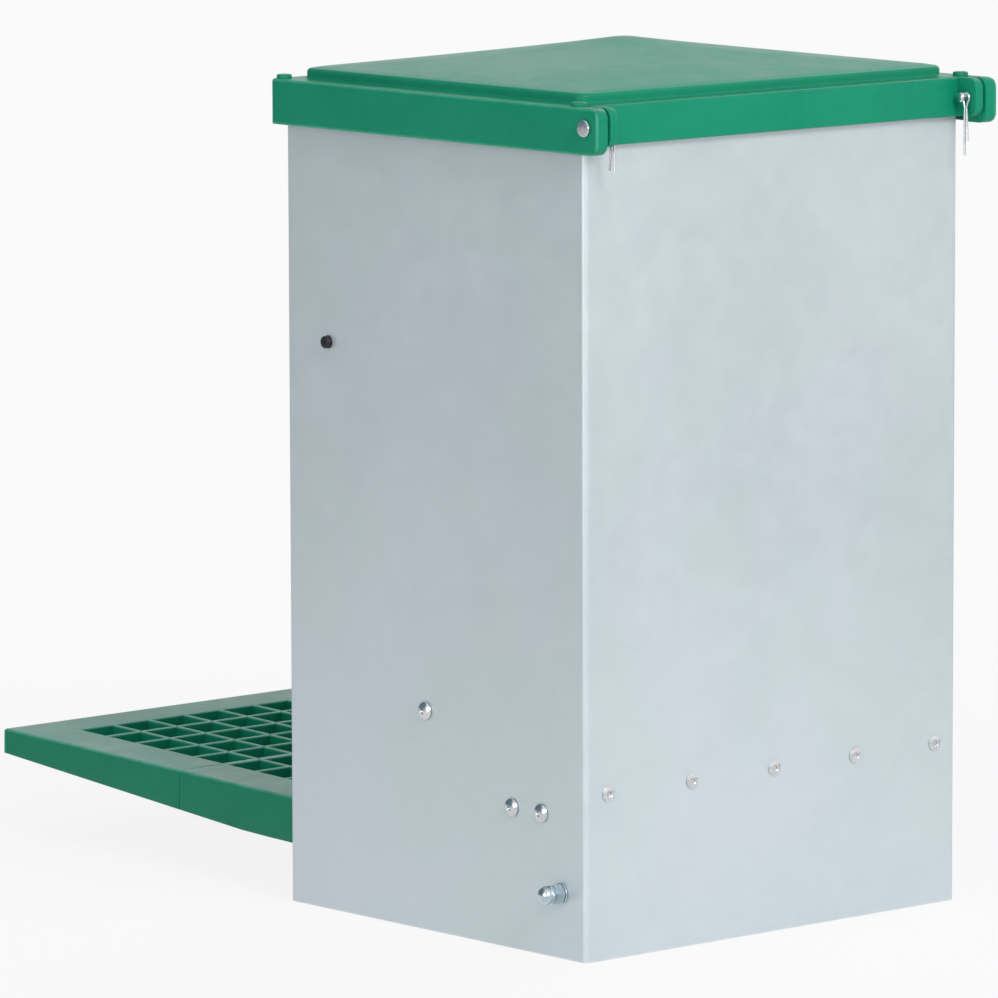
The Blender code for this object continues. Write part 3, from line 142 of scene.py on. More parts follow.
def noise(spot, scale, detail=2.0, roughness=0.5, pick=0):
    feeds = {"Vector": spot, "Scale": scale, "Detail": detail, "Roughness": roughness}
    return put("ShaderNodeTexNoise", feeds, pick)


def blended(share, *colours):
    """Colour between two others by a share."""
    first, second = [colour if isinstance(colour, Value) else (*colour, 1) for colour in colours]
    return put("ShaderNodeMix", {0: share, 6: first, 7: second}, 2, data_type="RGBA")


def ranged(*values):
    """A value brought smoothly from one range into another."""
    return put("ShaderNodeMapRange", dict(enumerate(values)), interpolation_type="SMOOTHSTEP")


def group(name, labels, family="Shader"):
    """New node group; each input has the kind of its default value, or the kind that a text names."""
    tree = bpy.data.node_groups.new(name, family + "NodeTree")
    for label, value in labels.items():
        kind = value if isinstance(value, str) else {float: "Float", int: "Int", tuple: "Vector"}[type(value)]
        socket = tree.interface.new_socket(name=label, in_out="INPUT", socket_type="NodeSocket" + kind)
        if kind != value:
            socket.default_value = value
    return {socket.name: Value(socket) for socket in tree.nodes.new("NodeGroupInput").outputs if socket.name}


def filled(result, label="Value", kind="Float"):
    """Finish a group by sending its result out."""
    tree = result.socket.id_data
    tree.interface.new_socket(name=label, in_out="OUTPUT", socket_type="NodeSocket" + kind)
    tree.links.new(result.socket, tree.nodes.new("NodeGroupOutput").inputs[0])
    return tree


# ---- finishes -------------------------------------------------------------

def cloudy_group():
    """Soft patches at two scales, from 0 to 1."""
    get = group("cloudy", {"Vector": "Vector", "Scale": 4.0, "Fine Scale": 30.0, "Fine Share": 0.3})
    broad = noise(get["Vector"], get["Scale"], 3.0, 0.55)
    fine = noise(get["Vector"], get["Fine Scale"], 4.0, 0.6)
    share = get["Fine Share"]
    return filled(ranged(broad * (1.0 - share) + fine * share, 0.32, 0.68, 0.0, 1.0))


def rolled_group():
    """Fine straight marks left by rolling the sheet, running up the Z axis."""
    get = group("rolled_marks", {"Vector": "Vector", "Density": 900.0})
    drawn = put("ShaderNodeMapping", {"Vector": get["Vector"], "Scale": (1.0, 1.0, 0.012)})
    return filled(noise(drawn, get["Density"]))


def spangle_group():
    """Zinc crystals, each with its own tone."""
    get = group("spangle", {"Vector": "Vector", "Scale": 90.0})
    nudge = put("ShaderNodeVectorMath", {0: noise(get["Vector"], 160.0, pick=1), 3: 0.006}, operation="SCALE")
    feeds = {"Vector": vectors("ADD", get["Vector"], nudge), "Scale": get["Scale"]}
    return filled(put("ShaderNodeSeparateColor", {0: put("ShaderNodeTexVoronoi", feeds, "Color")}))


def edge_group():
    """1 near the edges of a box, where two of its faces meet, fading to 0 within a width."""
    get = group("box_edges", {"Vector": "Vector", "Centre": (0, 0, 0), "Half Size": (1, 1, 1), "Width": 0.003,
                              "Break Up": 0.5})
    size = vectors("ABSOLUTE", vectors("SUBTRACT", get["Vector"], get["Centre"]))
    x, y, z = split(vectors("ABSOLUTE", vectors("SUBTRACT", get["Half Size"], size)))
    second = larger(worked("MINIMUM", x, y), worked("MINIMUM", larger(x, y), z))
    # noise patches that break up the painted edge highlight
    highlight_patches = ranged(noise(get["Vector"], 140.0, 4.0), 0.35, 0.62, 0.0, 1.0)
    near = ranged(second / get["Width"], 0.15, 1.0, 1.0, 0.0)
    share = get["Break Up"]
    return filled(near * (1.0 - share) + near * highlight_patches * share, "Mask")


def scuff_group():
    """Short thin scratches in two directions."""
    get = group("scuffs", {"Vector": "Vector", "Scale": 60.0, "Amount": 0.5})
    found = []
    for turn in ((0.4, 0.2, 0.7), (-0.5, 0.6, -0.9)):
        drawn = put("ShaderNodeMapping", {"Vector": get["Vector"], "Rotation": turn, "Scale": (1, 14, 1)})
        found.append(ranged(noise(drawn, get["Scale"], 5.0), 0.66, 0.76, 0.0, 1.0))
    return filled(larger(*found) * get["Amount"], "Mask")


CLOUDY, ROLLED, SPANGLE = cloudy_group(), rolled_group(), spangle_group()
EDGES, SCUFFS = edge_group(), scuff_group()


def shared(which, *values):
    """What a shader group puts out for its inputs in their order."""
    return put("ShaderNodeGroup", dict(enumerate(values)), node_tree=which)


def finish_start(name, roughness, metallic):
    made = bpy.data.materials.new(name)
    made.use_nodes = True
    shader = made.node_tree.nodes["Principled BSDF"]
    shader.inputs["Roughness"].default_value = roughness
    shader.inputs["Metallic"].default_value = metallic
    return made, shader, Value(node(made.node_tree, "ShaderNodeTexCoord").outputs["Object"])


def finish_end(made, colour, roughness, lift, strength, distance):
    bump = put("ShaderNodeBump", {"Height": lift, "Strength": strength, "Distance": distance})
    tree = made.node_tree
    for key, value in (("Base Color", colour), ("Roughness", roughness), ("Normal", bump)):
        tree.links.new(value.socket, tree.nodes["Principled BSDF"].inputs[key])
    return made


def sheet_finish(name, dark, light, highlight_box=None):
    """Galvanised sheet: pale grey with soft clouds, faint crystals and rolling marks."""
    made, _, spot = finish_start(name, 0.40, 0.55)
    clouds = shared(CLOUDY, spot, 5.0, 34.0, 0.3)
    crystals, marks = shared(SPANGLE, spot, 110.0), shared(ROLLED, spot, 700.0)
    share = worked("ADD", clouds * 0.55 + crystals * 0.25, marks * 0.25, clamp=True)
    tint = blended(shared(CLOUDY, spot, 3.4, 11.0, 0.25), (0.55, 0.65, 0.64), (0.60, 0.63, 0.70))
    colour = blended(0.38, blended(share, dark, light), tint)
    # painted highlight: paler grey along the box's edges and the body's bends
    if highlight_box:
        colour = blended(shared(EDGES, spot, *highlight_box, 0.6) * 0.35, colour, (0.78, 0.82, 0.84))
    colour = blended(shared(SCUFFS, spot, 26.0, 0.05), colour, (0.80, 0.82, 0.83))
    rough = ranged(clouds * 0.6 + crystals * 0.4, 0.0, 1.0, 0.34, 0.46)
    return finish_end(made, colour, rough, marks * 0.5 + crystals * 0.3, 0.10, 0.0002)


def zinc_finish(name, dark, light, roughness):
    """Bright plated fasteners with fine scratches and duller patches."""
    made, _, spot = finish_start(name, roughness, 1.0)
    clouds, scuffs = shared(CLOUDY, spot, 120.0, 700.0, 0.4), shared(SCUFFS, spot, 260.0, 0.5)
    colour = blended(scuffs * 0.5, blended(clouds, dark, light), (0.88, 0.89, 0.90))
    rough = clouds * 0.14 + roughness + scuffs * 0.12
    return finish_end(made, colour, rough, noise(spot, 1500.0, 3.0), 0.12, 0.00008)


def plastic_finish(name, dark, light, rub_and_highlight, roughness, gloss, highlight_box=None, marks=None, top_dust_and_sheen=None):
    """Moulded plastic: slight mottle, mould grain, painted highlights on edges, light scuffs, and a painted
    pale sheen with dust on top.
    """
    made, shader, spot = finish_start(name, roughness, 0.0)
    shader.inputs["Specular IOR Level"].default_value = gloss
    clouds = shared(CLOUDY, spot, 9.0, 90.0, 0.35)
    colour = blended(clouds, dark, light)
    if highlight_box:
        # painted highlight: paler green along the box's edges
        colour = blended(shared(EDGES, spot, *highlight_box, 0.35) * 0.55, colour, rub_and_highlight)
    colour = blended(shared(SCUFFS, spot, 40.0, 0.03), colour, rub_and_highlight)
    lift = noise(spot, 1100.0) * 0.35
    if marks:
        sunk, highlight_patches = marks(spot)
        # sink marks a little paler, and a painted highlight on rims and rib tops
        colour = blended(highlight_patches * 0.60, blended(sunk * 0.10, colour, rub_and_highlight), rub_and_highlight)
        lift = lift - sunk * 0.9
    # painted sheen: pale bluish tone on top faces, with dust
    if top_dust_and_sheen:
        colour = blended(top_dust_and_sheen(spot), colour, DUST_AND_SHEEN)
    rough = ranged(clouds, 0.0, 1.0, roughness - 0.04, roughness + 0.06)
    return finish_end(made, colour, rough, lift, 0.22, 0.00012)


# painted pale sheen, with dust, on the crown's top faces
def crown_dust(spot):
    return ranged(split(spot)[2], BORDER_Z + 0.0052, BORDER_Z + 0.0070, 0.0, 0.07)


def below_deck(spot):
    """How far a spot lies under the treadle's top face."""
    _, y, z = split(spot)
    return (y - TREADLE_FRONT) * SLOPE + TREADLE_FRONT_Z - z


def on_deck(spot):
    return below_deck(spot) < 0.0006


# painted pale sheen, with dust, on the treadle's top faces
def deck_dust(spot):
    return on_deck(spot) * 0.13


def grille_marks(spot):
    """Sink marks across the grille's borders in line with the ribs, and a painted highlight on rim and rib
    tops.
    """
    x, y, _ = split(spot)
    across, inward, below = abs(x), y - TREADLE_FRONT, below_deck(spot)
    masks = []
    for along, start, border in ((inward, 0.0305, across > 0.1015), (x, -0.1014, inward < 0.0295)):
        off = abs(worked("FRACT", (along - start) / PITCH + 50.5) - 0.5)
        masks.append(ranged(off, 0.02, 0.07, 1.0, 0.0) * border)
    side = PAD_X - across
    rims = [ranged(larger(*pair), 0.0003, 0.0019, 1.0, 0.0)
            for pair in ((side, below), (inward, below), (side, inward))]
    tops = ranged(below, 0.0003, 0.0012, 0.8, 0.0) * (across < 0.0998) * (inward > 0.0300)
    highlight_patches = larger(larger(larger(*rims[:2]), rims[2]), tops)
    return larger(*masks) * on_deck(spot), highlight_patches * ranged(noise(spot, 110.0, 4.0), 0.3, 0.55, 0.55, 1.0)


# pale green for scuffs and painted highlights; pale blue for painted top sheen with dust
GREEN_RUB_AND_HIGHLIGHT, DUST_AND_SHEEN = (0.10, 0.40, 0.27), (0.36, 0.55, 0.65)
# boxes whose edges and bends get a painted highlight
BODY_EDGE_HIGHLIGHT = ((0, 0, 0.2467), (HALF_X, HALF_Y, 0.2467), 0.0016)
LID_EDGE_HIGHLIGHT = ((0, 0.00975, 0.4864), (0.1604, 0.14595, 0.0136), 0.0020)
SHEET_BODY = sheet_finish("galvanised_body", (0.54, 0.617, 0.662), (0.625, 0.70, 0.735), BODY_EDGE_HIGHLIGHT)
SHEET_PARTS = sheet_finish("galvanised_parts", (0.46, 0.51, 0.54), (0.58, 0.63, 0.65))
ZINC = zinc_finish("bright_zinc", (0.60, 0.62, 0.64), (0.78, 0.80, 0.81), 0.13)
BLUE_ZINC = zinc_finish("blue_zinc", (0.46, 0.56, 0.61), (0.66, 0.74, 0.78), 0.15)
GREEN_LID = plastic_finish("green_lid_plastic", (0.004, 0.205, 0.112), (0.007, 0.232, 0.129), GREEN_RUB_AND_HIGHLIGHT,
                           0.34, 0.14, LID_EDGE_HIGHLIGHT, top_dust_and_sheen=crown_dust)
GREEN_GRILLE = plastic_finish("green_grille_plastic", (0.003, 0.165, 0.090), (0.006, 0.190, 0.106), GREEN_RUB_AND_HIGHLIGHT,
                              0.28, 0.13, marks=grille_marks, top_dust_and_sheen=deck_dust)
BLACK = plastic_finish("black_plastic", (0.010, 0.010, 0.011), (0.022, 0.022, 0.024), (0.07, 0.07, 0.07),
                       0.40, 0.4)


# ---- mesh making ----------------------------------------------------------

def placed(name, data):
    obj = bpy.data.objects.new(name, data)
    bpy.context.scene.collection.objects.link(obj)
    return obj


def smoothed(mesh, angle=32):
    mesh.shade_smooth()
    mesh.set_sharp_from_angle(angle=math.radians(angle))


def shown(name, mesh, look, angle=32):
    mesh.materials.clear()
    mesh.materials.append(look)
    smoothed(mesh, angle)
    return placed(name, mesh)


@contextmanager
def edited(mesh):
    """Open a mesh for editing, and write it back."""
    build = bmesh.new()
    build.from_mesh(mesh)
    yield build
    build.to_mesh(mesh)
    build.free()


def evaluated(obj):
    """Plain mesh of an object with its modifiers worked in; the object keeps none."""
    graph = bpy.context.evaluated_depsgraph_get()
    graph.update()
    mesh = bpy.data.meshes.new_from_object(obj.evaluated_get(graph))
    obj.modifiers.clear()
    return mesh


def mesh_from(points, faces):
    mesh = bpy.data.meshes.new("made")
    mesh.from_pydata([tuple(p) for p in points], [], faces)
    with edited(mesh) as build:
        bmesh.ops.recalc_face_normals(build, faces=build.faces)
    return mesh


def lofted(rings, ring_loop=False):
    """Skin of a list of rings with equal point counts, with flat end caps on an open stack."""
    count = len(rings[0])
    points = [p for ring in rings for p in ring]
    faces = []
    for k in range(len(rings) if ring_loop else len(rings) - 1):
        low, high = k * count, ((k + 1) % len(rings)) * count
        for i in range(count):
            j = (i + 1) % count
            faces.append((low + i, low + j, high + j, high + i))
    if not ring_loop:
        faces += [tuple(range(count)), tuple(range(len(points) - count, len(points)))]
    return mesh_from(points, faces)


SEATS = {"XY": lambda a, b, c: (a, b, c), "XZ": lambda a, b, c: (a, c, b), "YZ": lambda a, b, c: (c, a, b)}


def prism(outline, plane, low, high):
    """Closed outline in XY, XZ or YZ, extruded between two depths."""
    return lofted([[SEATS[plane](a, b, depth) for a, b in outline] for depth in (low, high)])


def span(side, first, second):
    """Two depths on one side of the object, low before high."""
    return sorted((side * first, side * second))


def box(x, y, z):
    return prism([(x[0], y[0]), (x[1], y[0]), (x[1], y[1]), (x[0], y[1])], "XY", *z)


def arc(centre, radius, start, end, steps):
    angles = [start + (end - start) * k / steps for k in range(steps + 1)]
    return [(centre[0] + radius * math.cos(a), centre[1] + radius * math.sin(a)) for a in angles]


def circle(centre, radius, sides):
    return arc(centre, radius, 0, 2 * math.pi, sides)[:-1]


def folded(path, radius, steps=10):
    """Closed outline of a bent sheet whose middle line follows a path."""
    spots = [Vector(p) for p in path]
    line = []
    for i, spot in enumerate(spots):
        before = (spot - spots[i - 1]).normalized() if i else None
        after = (spots[i + 1] - spot).normalized() if i < len(spots) - 1 else None
        if before is None or after is None:
            along = after or before
            line.append((spot, Vector((-along.y, along.x))))
            continue
        turn = math.atan2(before.cross(after), before.dot(after))
        side = math.copysign(1, turn)
        normal = Vector((-before.y, before.x))
        centre = spot - before * (radius * math.tan(abs(turn) / 2)) + normal * (radius * side)
        for k in range(steps + 1):
            swung = Matrix.Rotation(turn * k / steps, 2) @ normal
            line.append((centre - swung * (radius * side), swung))
    left = [tuple(p + n * SHEET / 2) for p, n in line]
    right = [tuple(p - n * SHEET / 2) for p, n in line]
    return left + right[::-1]


def rounded_box(half_x, low_y, high_y, radius, steps=8, rear_radius=None):
    """Rounded rectangle in XY, one corner after the other, from the rear right one."""
    rear = radius if rear_radius is None else rear_radius
    corners = ((1, high_y - rear, rear), (-1, high_y - rear, rear),
               (-1, low_y + radius, radius), (1, low_y + radius, radius))
    points = []
    for quarter, (side, y, r) in enumerate(corners):
        start = quarter * math.pi / 2
        points += arc((side * (half_x - r), y), r, start, start + math.pi / 2, steps)
    return points


def turned(profile, sides=40, hollow=False):
    """Revolved (radius, height) pairs about Z. A hollow profile is a closed loop."""
    return lofted([[(*p, height) for p in circle((0, 0), r, sides)] for r, height in profile], hollow)


def along_x(mesh, x, y, z):
    mesh.transform(Matrix.Translation((x, y, z)) @ Matrix.Rotation(math.pi / 2, 4, "Y"))
    return mesh


def drill(centre, radius, x, sides=32):
    return prism(circle(centre, radius, sides), "YZ", *x)


def applied(obj, tool_mesh, operation):
    tool = placed("tool", tool_mesh)
    step = obj.modifiers.new("step", "BOOLEAN")
    step.operation, step.solver, step.object = operation, "EXACT", tool
    obj.data = evaluated(obj)
    bpy.data.objects.remove(tool)
    smoothed(obj.data)
    return obj


def cut(obj, *tools):
    for tool in tools:
        applied(obj, tool, "DIFFERENCE")
    return obj


def join(obj, *tools):
    for tool in tools:
        applied(obj, tool, "UNION")
    return obj


def eased(obj, width, steps=2, angle=50, chosen=None):
    """Round the edges sharper than an angle, or those of them that a test picks by their middle."""
    with edited(obj.data) as build:
        bmesh.ops.remove_doubles(build, verts=build.verts, dist=1e-6)
        edges = []
        for edge in build.edges:
            middle = (edge.verts[0].co + edge.verts[1].co) / 2
            sharp = len(edge.link_faces) == 2 and edge.calc_face_angle(0) > math.radians(angle)
            if sharp and (chosen is None or chosen(middle)):
                edges.append(edge)
        bmesh.ops.bevel(build, geom=edges, offset=width, offset_type="OFFSET", segments=steps, profile=0.5,
                        affect="EDGES", clamp_overlap=True)
    smoothed(obj.data)
    return obj


def merged(name, look, *objects):
    """One piece from several objects, at the origin."""
    mesh = bpy.data.meshes.new(name)
    with edited(mesh) as build:
        for obj in objects:
            build.from_mesh(obj.data)
            bpy.data.objects.remove(obj)
    return shown(name, mesh, look)


def dressed(obj, body, slot, *nodes):
    """Let a piece ride on its body in place of its CAD nodes."""
    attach(obj, body)
    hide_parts(*nodes)


def both_sides(obj, piece, body, slot, stem):
    """Dress a right-hand piece and its mirror image, each named for its side, as a body may be."""
    mesh = obj.data.copy()
    mesh.transform(Matrix.Scale(-1, 4, (1, 0, 0)))
    mesh.flip_normals()
    left = shown(piece + "_left", mesh, mesh.materials[0])
    obj.name = piece + "_right"
    for made, label in ((left, "left"), (obj, "right")):
        dressed(made, body.format(label), slot, f"{stem}_{label}")


def relieved(obj):
    """Notch a sheet's corners round the body's bends."""
    heights = [v.co.z for v in obj.data.vertices]
    for sx in (-1, 1):
        for sy in (-1, 1):
            x, y = span(sx, HALF_X - BEND, HALF_X + PAST), span(sy, HALF_Y - BEND, HALF_Y + PAST)
            cut(obj, box(x, y, (min(heights) - PAST, max(heights) + PAST)))
    return obj


# ---- repeated pieces, by Geometry Nodes -----------------------------------

def grown_end(geometry, look):
    """Finish a tree with real geometry in its material."""
    real = put("GeometryNodeRealizeInstances", {0: geometry})
    return filled(put("GeometryNodeSetMaterial", {0: real, "Material": look}), "Geometry", "Geometry")


def set_tree():
    """Copies of one template on each point, turned by the point's own turn."""
    labels = {"Geometry": "Geometry", "Template": "Object", "Material": "Material"}
    get = group("set_on_points", labels, "Geometry")
    template = put("GeometryNodeObjectInfo", {"Object": get["Template"]}, "Geometry")
    turn = node(template.socket.id_data, "GeometryNodeInputNamedAttribute", {"Name": "turn"},
                data_type="FLOAT_VECTOR").outputs[0]
    rotation = put("FunctionNodeEulerToRotation", {0: Value(turn)})
    return grown_end(put("GeometryNodeInstanceOnPoints", {
        "Points": get["Geometry"], "Instance": template, "Rotation": rotation}), get["Material"])


def wire_tree():
    """Round wire along a line of points, with filled ends."""
    labels = {"Geometry": "Geometry", "Radius": 0.001, "Sides": 12, "Material": "Material"}
    get = group("bent_wire", labels, "Geometry")
    line = put("GeometryNodeMeshToCurve", {0: get["Geometry"]})
    rim = put("GeometryNodeCurvePrimitiveCircle", {"Resolution": get["Sides"], "Radius": get["Radius"]})
    tube = put("GeometryNodeCurveToMesh", {"Curve": line, "Profile Curve": rim, "Fill Caps": True})
    return grown_end(tube, get["Material"])


def rib_tree():
    """Field of crossed ribs with drafted sides: two rows of bars, laid across each other."""
    get = group("rib_field", {
        "Geometry": "Geometry", "Bars Along": 8, "Bars Across": 6, "Pitch X": 0.029, "Pitch Y": 0.029,
        "Length X": 0.2, "Length Y": 0.15, "Rib Top": 0.002, "Rib Foot": 0.0015, "Depth": 0.013,
        "Edge Radius": 0.0004, "Material": "Material"}, "Geometry")
    section = put("GeometryNodeCurvePrimitiveQuadrilateral", {
        "Height": get["Depth"], "Bottom Width": get["Rib Top"], "Top Width": get["Rib Foot"], "Offset": 0.0},
        mode="TRAPEZOID")
    feeds = {"Curve": section, "Radius": get["Edge Radius"], "Count": 3}
    soft = put("GeometryNodeFilletCurve", feeds, mode="POLY")
    both = node(soft.socket.id_data, "GeometryNodeJoinGeometry")
    for along, length, pitch, count in ((1, get["Length Y"], get["Pitch X"], get["Bars Along"]),
                                        (0, get["Length X"], get["Pitch Y"], get["Bars Across"])):
        start, end = [put("ShaderNodeCombineXYZ", {along: length * share, 2: get["Depth"] * -0.5})
                      for share in (-0.5, 0.5)]
        bar = put("GeometryNodeCurvePrimitiveLine", {"Start": start, "End": end})
        solid = put("GeometryNodeCurveToMesh", {"Curve": bar, "Profile Curve": soft, "Fill Caps": True})
        first = put("ShaderNodeCombineXYZ", {1 - along: pitch * (count - 1.0) * -0.5})
        step = put("ShaderNodeCombineXYZ", {1 - along: pitch})
        spots = put("GeometryNodeMeshLine", {"Count": count, "Start Location": first, "Offset": step})
        row = put("GeometryNodeInstanceOnPoints", {"Points": spots, "Instance": solid})
        row.socket.id_data.links.new(row.socket, both.inputs[0])
    return grown_end(Value(both.outputs[0]), get["Material"])


SET_TREE, WIRE_TREE, RIB_TREE = set_tree(), wire_tree(), rib_tree()


def grown(name, base, tree, values, look, angle=32):
    """Evaluate a tree on a base mesh and keep the result as one plain piece."""
    obj = placed(name, base)
    step = obj.modifiers.new("grown", "NODES")
    step.node_group = tree
    ids = {s.name: s.identifier for s in tree.interface.items_tree
           if s.item_type == "SOCKET" and s.in_out == "INPUT"}
    for label, value in {**values, "Material": look}.items():
        step[ids[label]] = value
    mesh = evaluated(obj)
    bpy.data.objects.remove(obj)
    return shown(name, mesh, look, angle)


def set_of(name, template, spots, turns):
    """One piece made of a zinc template's copies; the template goes."""
    mesh = bpy.data.meshes.new("spots")
    mesh.from_pydata(spots, [], [])
    store = mesh.attributes.new("turn", "FLOAT_VECTOR", "POINT")
    store.data.foreach_set("vector", [v for turn in turns for v in turn])
    made = grown(name, mesh, SET_TREE, {"Template": template}, ZINC)
    bpy.data.objects.remove(template)
    return made


def wire(name, path, radius, sides):
    mesh = bpy.data.meshes.new("line")
    mesh.from_pydata(path, [(k, k + 1) for k in range(len(path) - 1)], [])
    return grown(name, mesh, WIRE_TREE, {"Radius": radius, "Sides": sides}, ZINC, 60)


# ---- folded sheet pieces --------------------------------------------------

def bent(name, path, radius, plane="YZ", reach=FIT_X):
    return shown(name, prism(folded(path, radius), plane, -reach, reach), SHEET_PARTS)


def sheet_dressed(obj, part, body="body"):
    dressed(obj, body, "galvanised_sheet", part)


def rivet_holes(obj, low, high):
    for spot in RIVETS:
        cut(obj, prism(circle(spot, SCREW_R + GAP, 24), "XZ", low, high))


def body_shell():
    """Sides, back and narrow front returns, folded from one sheet."""
    x, y, inner = HALF_X - SHEET / 2, HALF_Y - SHEET / 2, HALF_X - 0.012
    path = [(inner, -y), (x, -y), (x, y), (-x, y), (-x, -y), (-inner, -y)]
    obj = shown("body_shell", prism(folded(path, BEND - SHEET / 2, 16), "XY", 0, BODY_TOP), SHEET_BODY)
    holes = [(ROD, PLUG_R), (BAFFLE_SCREW, SCREW_R), (PIVOT, PIVOT_R)]
    holes += [(spot, SCREW_R) for spot in TRAY_SCREWS]
    cut(obj, *[drill(spot, radius + GAP, (-HALF_X - PAST, HALF_X + PAST)) for spot, radius in holes])
    rivet_holes(obj, IN_Y - PAST, HALF_Y + PAST)
    sheet_dressed(obj, "body_wrap")


def floor_and_front():
    x = FIT_X - SHEET / 2
    floor = [(-x, 0.012), (-x, SHEET / 2), (x, SHEET / 2), (x, 0.012)]
    sheet_dressed(relieved(bent("floor_pan", floor, 0.002, "XZ", IN_Y - GAP)), "floor_panel")
    y, z, top = -IN_Y + GAP + SHEET / 2, MOUTH_TOP + SHEET / 2, APRON_TOP - SHEET / 2
    upper = [(y, BODY_TOP), (y, z), (y + 0.025, z)]
    lower = [(y, APRON_FOOT), (y, top), (y + HEM, top), (y + HEM, top - 0.006)]
    sheet_dressed(relieved(bent("front_sheet", upper, 0.002)), "front_panel")
    sheet_dressed(relieved(bent("apron_sheet", lower, 0.001)), "front_apron")


CHEEK_X = IN_X - 0.013 - SHEET


def tray_top(y):
    share = max(0, (y - TRAY_FLAT_Y) / (IN_Y - TRAY_FLAT_Y))
    return TRAY_Z + share * (TRAY_REAR_Z - TRAY_Z) + SHEET / 2


def tray_sheet():
    """Sloping floor and trough, flanged to the back, front and sides."""
    rear, front = IN_Y - GAP - SHEET / 2, -IN_Y + 2 * GAP + SHEET * 1.5
    path = [(rear, TRAY_REAR_Z - 0.019), (rear, TRAY_REAR_Z), (TRAY_FLAT_Y, TRAY_Z), (front, TRAY_Z),
            (front, TRAY_Z + 0.030)]
    obj = bent("tray_sheet", path, 0.003)
    low, high = TRAY_SCREWS[0][0] - 0.012, TRAY_SCREWS[1][0] + 0.012
    tab = [(low, 0.076), (high, 0.076), (high, tray_top(high) - SHEET / 2), (low, tray_top(low) - SHEET / 2)]
    for side in (-1, 1):
        join(obj, prism(tab, "YZ", *span(side, FIT_X - SHEET, FIT_X)))
        cut(obj, box(span(side, CHEEK_X + SHEET + GAP, HALF_X + PAST), (-HALF_Y, 0.005), (0, TRAY_REAR_Z)))
        reach = span(side, FIT_X - SHEET - PAST, FIT_X + PAST)
        cut(obj, *[drill(spot, SCREW_R + GAP, reach) for spot in TRAY_SCREWS])
    rivet_holes(obj, rear - PAST, IN_Y + PAST)
    sheet_dressed(relieved(obj), "feed_tray")


def cheek_plates():
    """Upright side walls of the trough."""
    top, r = ROD[1] - FLAP_LONG - SHEET - GAP, 0.006
    front, rear = -IN_Y + 3 * GAP + 2 * SHEET, 0.005 + SHEET + GAP
    low_front, low_rear = tray_top(front) + GAP, tray_top(rear) + GAP
    wall = [(front, low_front + 0.004), (front + 0.004, low_front), (TRAY_FLAT_Y, low_front), (rear, low_rear),
            (rear, top - r)]
    wall += arc((rear - r, top - r), r, 0, math.pi / 2, 6)[1:]
    wall += arc((front + r, top - r), r, math.pi / 2, math.pi, 6)
    x, y = CHEEK_X + SHEET / 2, rear - SHEET / 2
    bend = folded([(x, rear - 0.006), (x, y), (FIT_X, y)], 0.0012)
    for side, label in ((1, "right"), (-1, "left")):
        plate = shown("plate", prism(wall, "YZ", *span(side, CHEEK_X, CHEEK_X + SHEET)), SHEET_PARTS)
        leg = shown("leg", prism([(side * x, y) for x, y in bend], "XY", low_rear, top + 0.014), SHEET_PARTS)
        sheet_dressed(merged("cheek_plate_" + label, SHEET_PARTS, plate, leg), "trough_cheek_" + label)


def baffle_sheet():
    """Sheet that holds the feed back behind the flap."""
    z = MOUTH_TOP + SHEET * 1.5 + GAP
    bend, foot = Vector((-0.084, z)), Vector((0.003, 0.118))
    obj = bent("baffle_sheet", [(-0.118, z), bend, foot], 0.003)
    run = foot - bend
    forward, tail = Vector((run.y, -run.x)).normalized() * 0.013, foot - run.normalized() * SHEET
    flange = [tuple(p) for p in (tail, tail + forward, tail + forward - run / 3, tail - run / 3)]
    for side in (-1, 1):
        join(obj, prism(flange, "YZ", *span(side, FIT_X - SHEET, FIT_X)))
        cut(obj, drill(BAFFLE_SCREW, SCREW_R + GAP, span(side, FIT_X - SHEET - PAST, FIT_X + PAST)))
    sheet_dressed(obj, "hopper_baffle")


FLAP_STOP_Y = -IN_Y + 2 * GAP + SHEET * 1.5 + HEM
FLAP_ANGLE = math.asin((ROD[0] - CURL_R - FLAP_STOP_Y) / FLAP_LONG)


def flap_spot(distance, offset):
    down = Vector((-math.sin(FLAP_ANGLE), -math.cos(FLAP_ANGLE)))
    return Vector(ROD) + down * distance + Vector((-down.y, down.x)) * offset


def flap_sheet():
    """Swinging cover, curled round its rod and hemmed at the foot."""
    hang = -math.pi / 2 - FLAP_ANGLE
    ring = arc(ROD, CURL_R, hang - math.radians(290), hang - math.radians(60), 22)
    tail = [flap_spot(CURL_R * 2, -CURL_R), flap_spot(FLAP_LONG, -CURL_R), flap_spot(FLAP_LONG, HEM - CURL_R),
            flap_spot(FLAP_LONG - 0.007, HEM - CURL_R)]
    outline = folded(ring + tail, 0.001, 5)
    sheet_dressed(shown("flap_sheet", prism(outline, "YZ", -FLAP_X, FLAP_X), SHEET_PARTS), "flap", "flap")


# ---- linkage --------------------------------------------------------------

CRANK_PIN = (ROD[0] - 0.02174 * math.cos(math.radians(5.02)), ROD[1] - 0.02174 * math.sin(math.radians(5.02)))
PINS_END = LINK_X + LINK_WIDTH + 2 * GAP


def bar_piece(name, radius, reach, centre):
    ends = [(radius - 0.0005, reach), (radius, reach - 0.0005)]
    return shown(name, along_x(turned([(r, -x) for r, x in ends] + ends[::-1]), 0, *centre), ZINC)


def taper_outline(first, first_r, second, second_r, steps=20):
    run = Vector(second) - Vector(first)
    heading, spread = math.atan2(run.y, run.x), math.acos((first_r - second_r) / run.length)
    near = arc(first, first_r, heading + spread, heading + 2 * math.pi - spread, steps)
    return near + arc(second, second_r, heading - spread, heading + spread, steps)


def welded(obj, part):
    join(obj, part.data)
    bpy.data.objects.remove(part)


